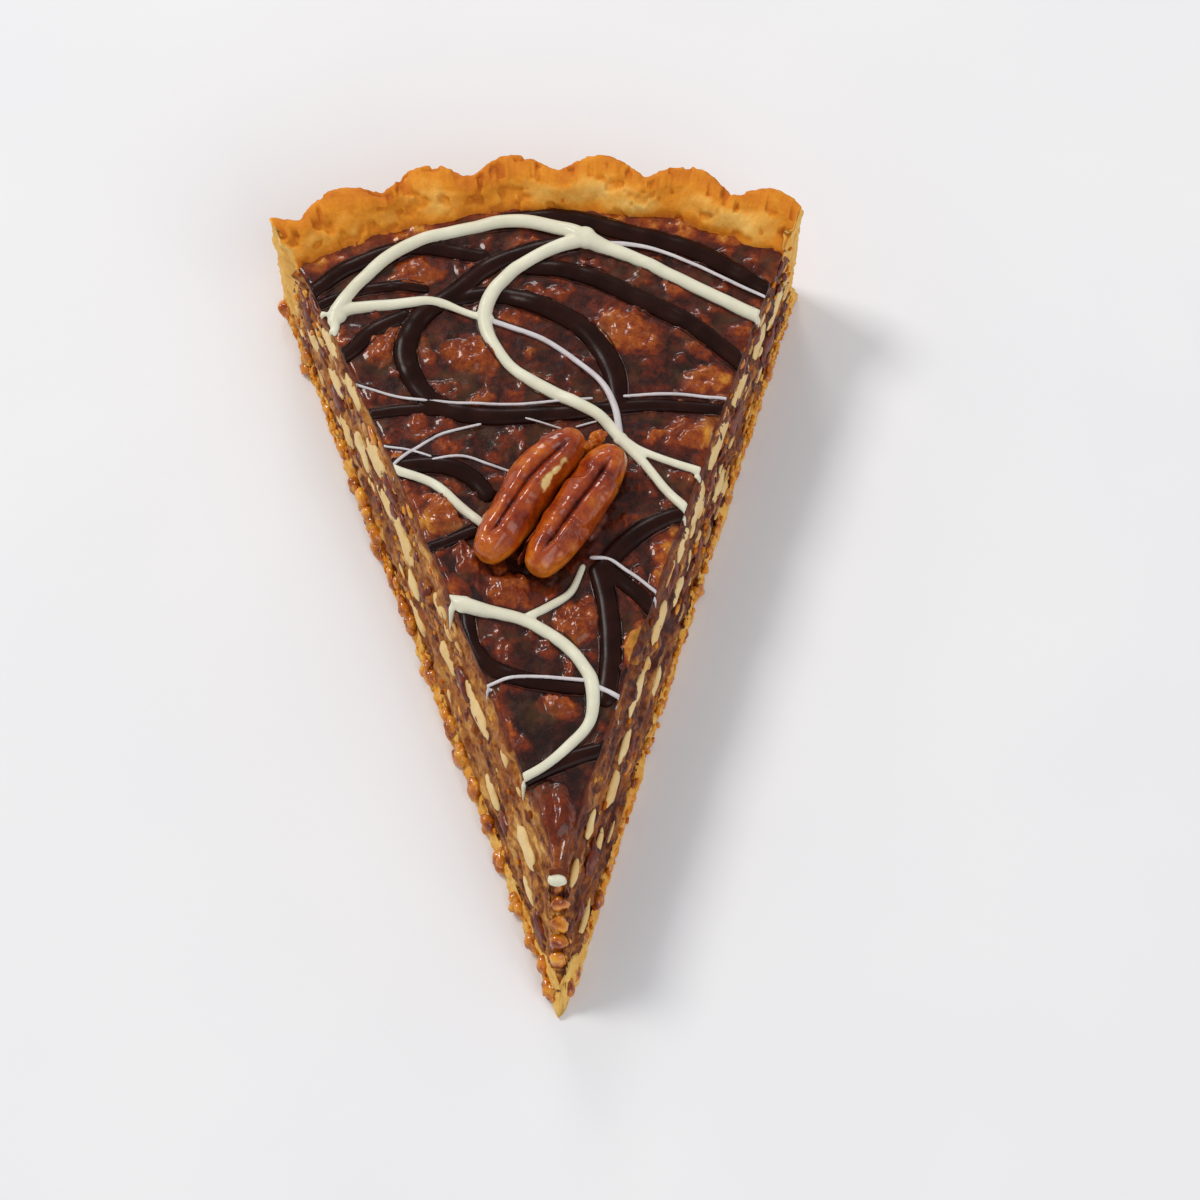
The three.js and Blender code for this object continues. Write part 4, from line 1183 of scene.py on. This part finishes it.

# %% [markdown]
# ## The pecan
#
# A pecan kernel comes out of its shell as two halves, each a long bean with a groove down its back and
# fine wrinkles across it. Glazed and toasted, its skin is a glossy red-brown that turns orange at
# the ends. Each half is a stack of rings along its axis. Two rounded lobes meet in the groove, so the
# section is a circle with a wide shallow dip and a narrow deep one. Marks on each point say where the
# skin is thin or bare, and the depth mark paints shade deep in the groove.

# %% Pecan skin
skin_finish, skin_mm, skin_shader = new_finish(
    "glazed_pecan_skin", Roughness=0.3, Specular_IOR_Level=0.2, Coat_Weight=0.6, Coat_Roughness=0.09,
    Subsurface_Weight=0.08, Subsurface_Radius=(1.0, 0.4, 0.15), Subsurface_Scale=1.0 * MM)
# the first mark paints shade deep in each half's groove, and deepens the membrane's own red
groove_shade_and_leaf_here, end_here, bare_here = (
    add_node(skin_finish, "Attribute", attribute_name=mark).outputs["Fac"]
    for mark in ("depth", "end", "bare"))
skin_cloud = add_node(skin_finish, "TexNoise", {"Vector": skin_mm, "Scale": 0.3,
                                                "Detail": 4.0}).outputs["Fac"]
skin_fine = add_node(skin_finish, "TexNoise", {"Vector": skin_mm, "Scale": 1.4, "Detail": 4.0,
                                               "Roughness": 0.6}).outputs["Fac"]
skin_shade = -0.19
for part, weight in ((end_here, 1.0), (skin_cloud, 1.2), (skin_fine, 0.45), (groove_shade_and_leaf_here, -0.75)):
    skin_shade = add_node(skin_finish, "Math", {0: part, 1: weight, 2: skin_shade},
                          operation="MULTIPLY_ADD").outputs[0]
skin_colour = add_node(skin_finish, "ValToRGB", {"Fac": skin_shade},
                       stops=[(0.1, "#2c0a05"), (1.0, "#cc7018"), (0.3, "#5e180a"), (0.5, "#862c0a"),
                              (0.74, "#ac480c")]).outputs["Color"]
flesh_below = add_node(skin_finish, "ValToRGB", {"Fac": bare_here},
                       stops=[(0.3, "#b8681c"), (0.9, "#f4d48c")])
skin_colour = add_node(skin_finish, "Mix", {0: bare_here, 6: skin_colour, 7: flesh_below.outputs["Color"]},
                       data_type="RGBA").outputs[2]
skin_bump = add_node(skin_finish, "Bump", {"Strength": 0.22, "Distance": 0.14 * MM, "Height": skin_fine})
join(skin_finish, {"Base Color": skin_colour, "Normal": skin_bump.outputs[0]}, skin_shader)

# %% Pecan halves
PECAN_WIDTH = 8.6
PECAN_HEIGHT = 9.4
PECAN_MIDDLE = FILL_AT_RIM + 3.7
PECAN_RINGS = 260
PECAN_AROUND = 170


def pecan_half(foot, head, hook, groove_lean, seed):
    """Rings along the half's axis. The radius follows the sine of the turn to the power 0.6, so the
    sides run nearly straight. hook bends the head end sideways, in mm. groove_lean says how far to
    the right the groove lies at the foot, the middle and the head."""
    foot, head = np.array(foot), np.array(head)
    long = head - foot
    half_long = np.linalg.norm(long) / 2
    long = long / (2 * half_long)
    beside = np.array([long[1], -long[0]])
    turn = np.linspace(0.02, np.pi - 0.02, PECAN_RINGS)[:, None]
    angle = (np.arange(PECAN_AROUND) * 2 * np.pi / PECAN_AROUND)[None]
    s = (1 - np.cos(turn)) / 2
    fat = np.sin(turn) ** 0.6 * (1 - 0.10 * (1 - s))
    lean, rise = np.cos(angle), np.sin(angle)
    surface = np.stack(np.broadcast_arrays(s * 2 * half_long, lean * 4, rise * 4 + 20 * seed), -1)
    wander = 0.05 * noise(surface * [1, 0, 0] + [0, 0, 5.0], 4.0, 85 + seed, 2)
    groove_place = np.interp(s, (0.1, 0.5, 0.92), groove_lean) + wander
    along_groove = smoothstep(s, 0.06, 0.2) * (1 - 0.95 * smoothstep(s, 0.78, 0.93))
    from_groove = lean - groove_place
    top_side = smoothstep(rise, 0.0, 0.3)
    narrow = np.exp(-(from_groove / 0.06) ** 2) * along_groove * top_side
    wide = np.exp(-(from_groove / 0.24) ** 2) * along_groove * top_side
    wrinkled = surface * np.array([1.0, 0.25, 0.25])
    wrinkles = (0.20 * noise(wrinkled, 1.2, 70 + seed, 1)
                + 0.30 * noise(surface * [0.4, 1.0, 1.0], 2.4, 75 + seed, 2))
    wrinkles = wrinkles * smoothstep(rise + 0 * s, -0.4, 0.3)
    folds = -0.5 * smoothstep(noise(surface * [1.0, 0.5, 0.5], 3.0, 78 + seed, 2), 0.25, 0.7)
    waves = 0.34 * noise(surface, 5.0, 80 + seed, 2)
    radius = 1 + (waves + wrinkles + folds - 0.95 * wide - 0.4 * narrow) / (PECAN_WIDTH / 2)
    wide_reach = PECAN_WIDTH / 2 * fat * radius * lean
    high = PECAN_HEIGHT / 2 * fat * radius * rise
    reach = -np.cos(turn) * half_long + 0 * angle
    bend = hook * smoothstep(s, 0.6, 1.0)
    x = (foot + head)[0] / 2 + long[0] * reach + beside[0] * (wide_reach + bend)
    y = (foot + head)[1] / 2 + long[1] * reach + beside[1] * (wide_reach + bend)
    points = np.stack([x, y, PECAN_MIDDLE + high], -1)
    ends = 0.26 * (smoothstep(np.abs(s - 0.5), 0.30, 0.5) + 0 * angle)
    lower = 0.16 * (1 - smoothstep(rise + 0 * s, 0.1, 0.6))
    # the depth mark is painted shade in the groove, eased on the underside
    marks = {"depth": np.clip(0.4 * narrow + 0.25 * wide - lower * 0.6, 0, 1), "end": ends + lower,
             "bare": np.zeros(narrow.shape)}
    return points, marks, s + 0 * angle, lean + 0 * s, rise + 0 * s


def add_half(name, points, marks):
    """A half's grid as a closed piece, with each ring turned round so that its faces look outwards."""
    tube_points, tube_faces = closed_tube(points[:, ::-1])
    marks = {mark: values[:, ::-1] for mark, values in marks.items()}
    make_piece(name, tube_points, tube_faces, [skin_finish], [name], marks)


points, marks, s, lean, rise = pecan_half((-10, 66.5), (3.8, 89.4), 1.4, (-0.25, -0.05, 0.35), 1)
patch = np.exp(-((s - 0.63) / 0.17) ** 4 - ((lean - 0.66) / 0.17) ** 2)
marks["bare"] = smoothstep(patch + 0.45 * noise(points, 1.5, 90, 3), 0.32, 0.95) * (rise > -0.2)
add_half("pecan_half_left", points, marks)
points, marks, s, lean, rise = pecan_half((-2.2, 64), (11.3, 85.5), 0.2, (-0.05, 0.2, 0.25), 2)
patch = 0.55 * np.exp(-((s - 0.2) / 0.1) ** 2 - ((lean - 0.1) / 0.4) ** 2)
marks["bare"] = 0.5 * smoothstep(patch + 0.35 * noise(points, 1.3, 91, 3), 0.35, 0.85) * (rise > 0)
add_half("pecan_half_right", points, marks)

# %% [markdown]
# Between the halves runs a thin, dark red leaf of the woody membrane that held them in the shell, and a
# torn flake of it stands up at the head end.

# %% Membrane and flake
leaf = pebbles(np.array([[1.6, 76.0, 23.6]]), np.array([[6.5, 9.8, 0]]), np.array([[0.3, -0.2, 0]]),
               np.array([[0, 0, 2.4]]), 0.25, 1.5, 95, 40, 20)
flake = pebbles(np.array([[8.3, 87.2, 24.6], [7.2, 86.2, 24.2]]),
                np.array([[1.2, 0.4, 0.2], [0.9, 0.8, -0.2]]), np.array([[-0.3, 0.8, 0.3], [-0.4, 0.7, 0.4]]),
                np.array([[0, -0.2, 0.9], [0.1, 0.2, 0.7]]), 0.7, 0.8, 96, 24, 24)
parts = [(leaf[0], leaf[1], {"depth": 0.25, "end": 0.0, "bare": 0.0}),
         (flake[0], flake[1], {"depth": 0.0, "end": 0.35, "bare": 0.1})]
points, faces, marks = join_parts(parts)
make_piece("membrane", points, faces, [skin_finish], [], marks)
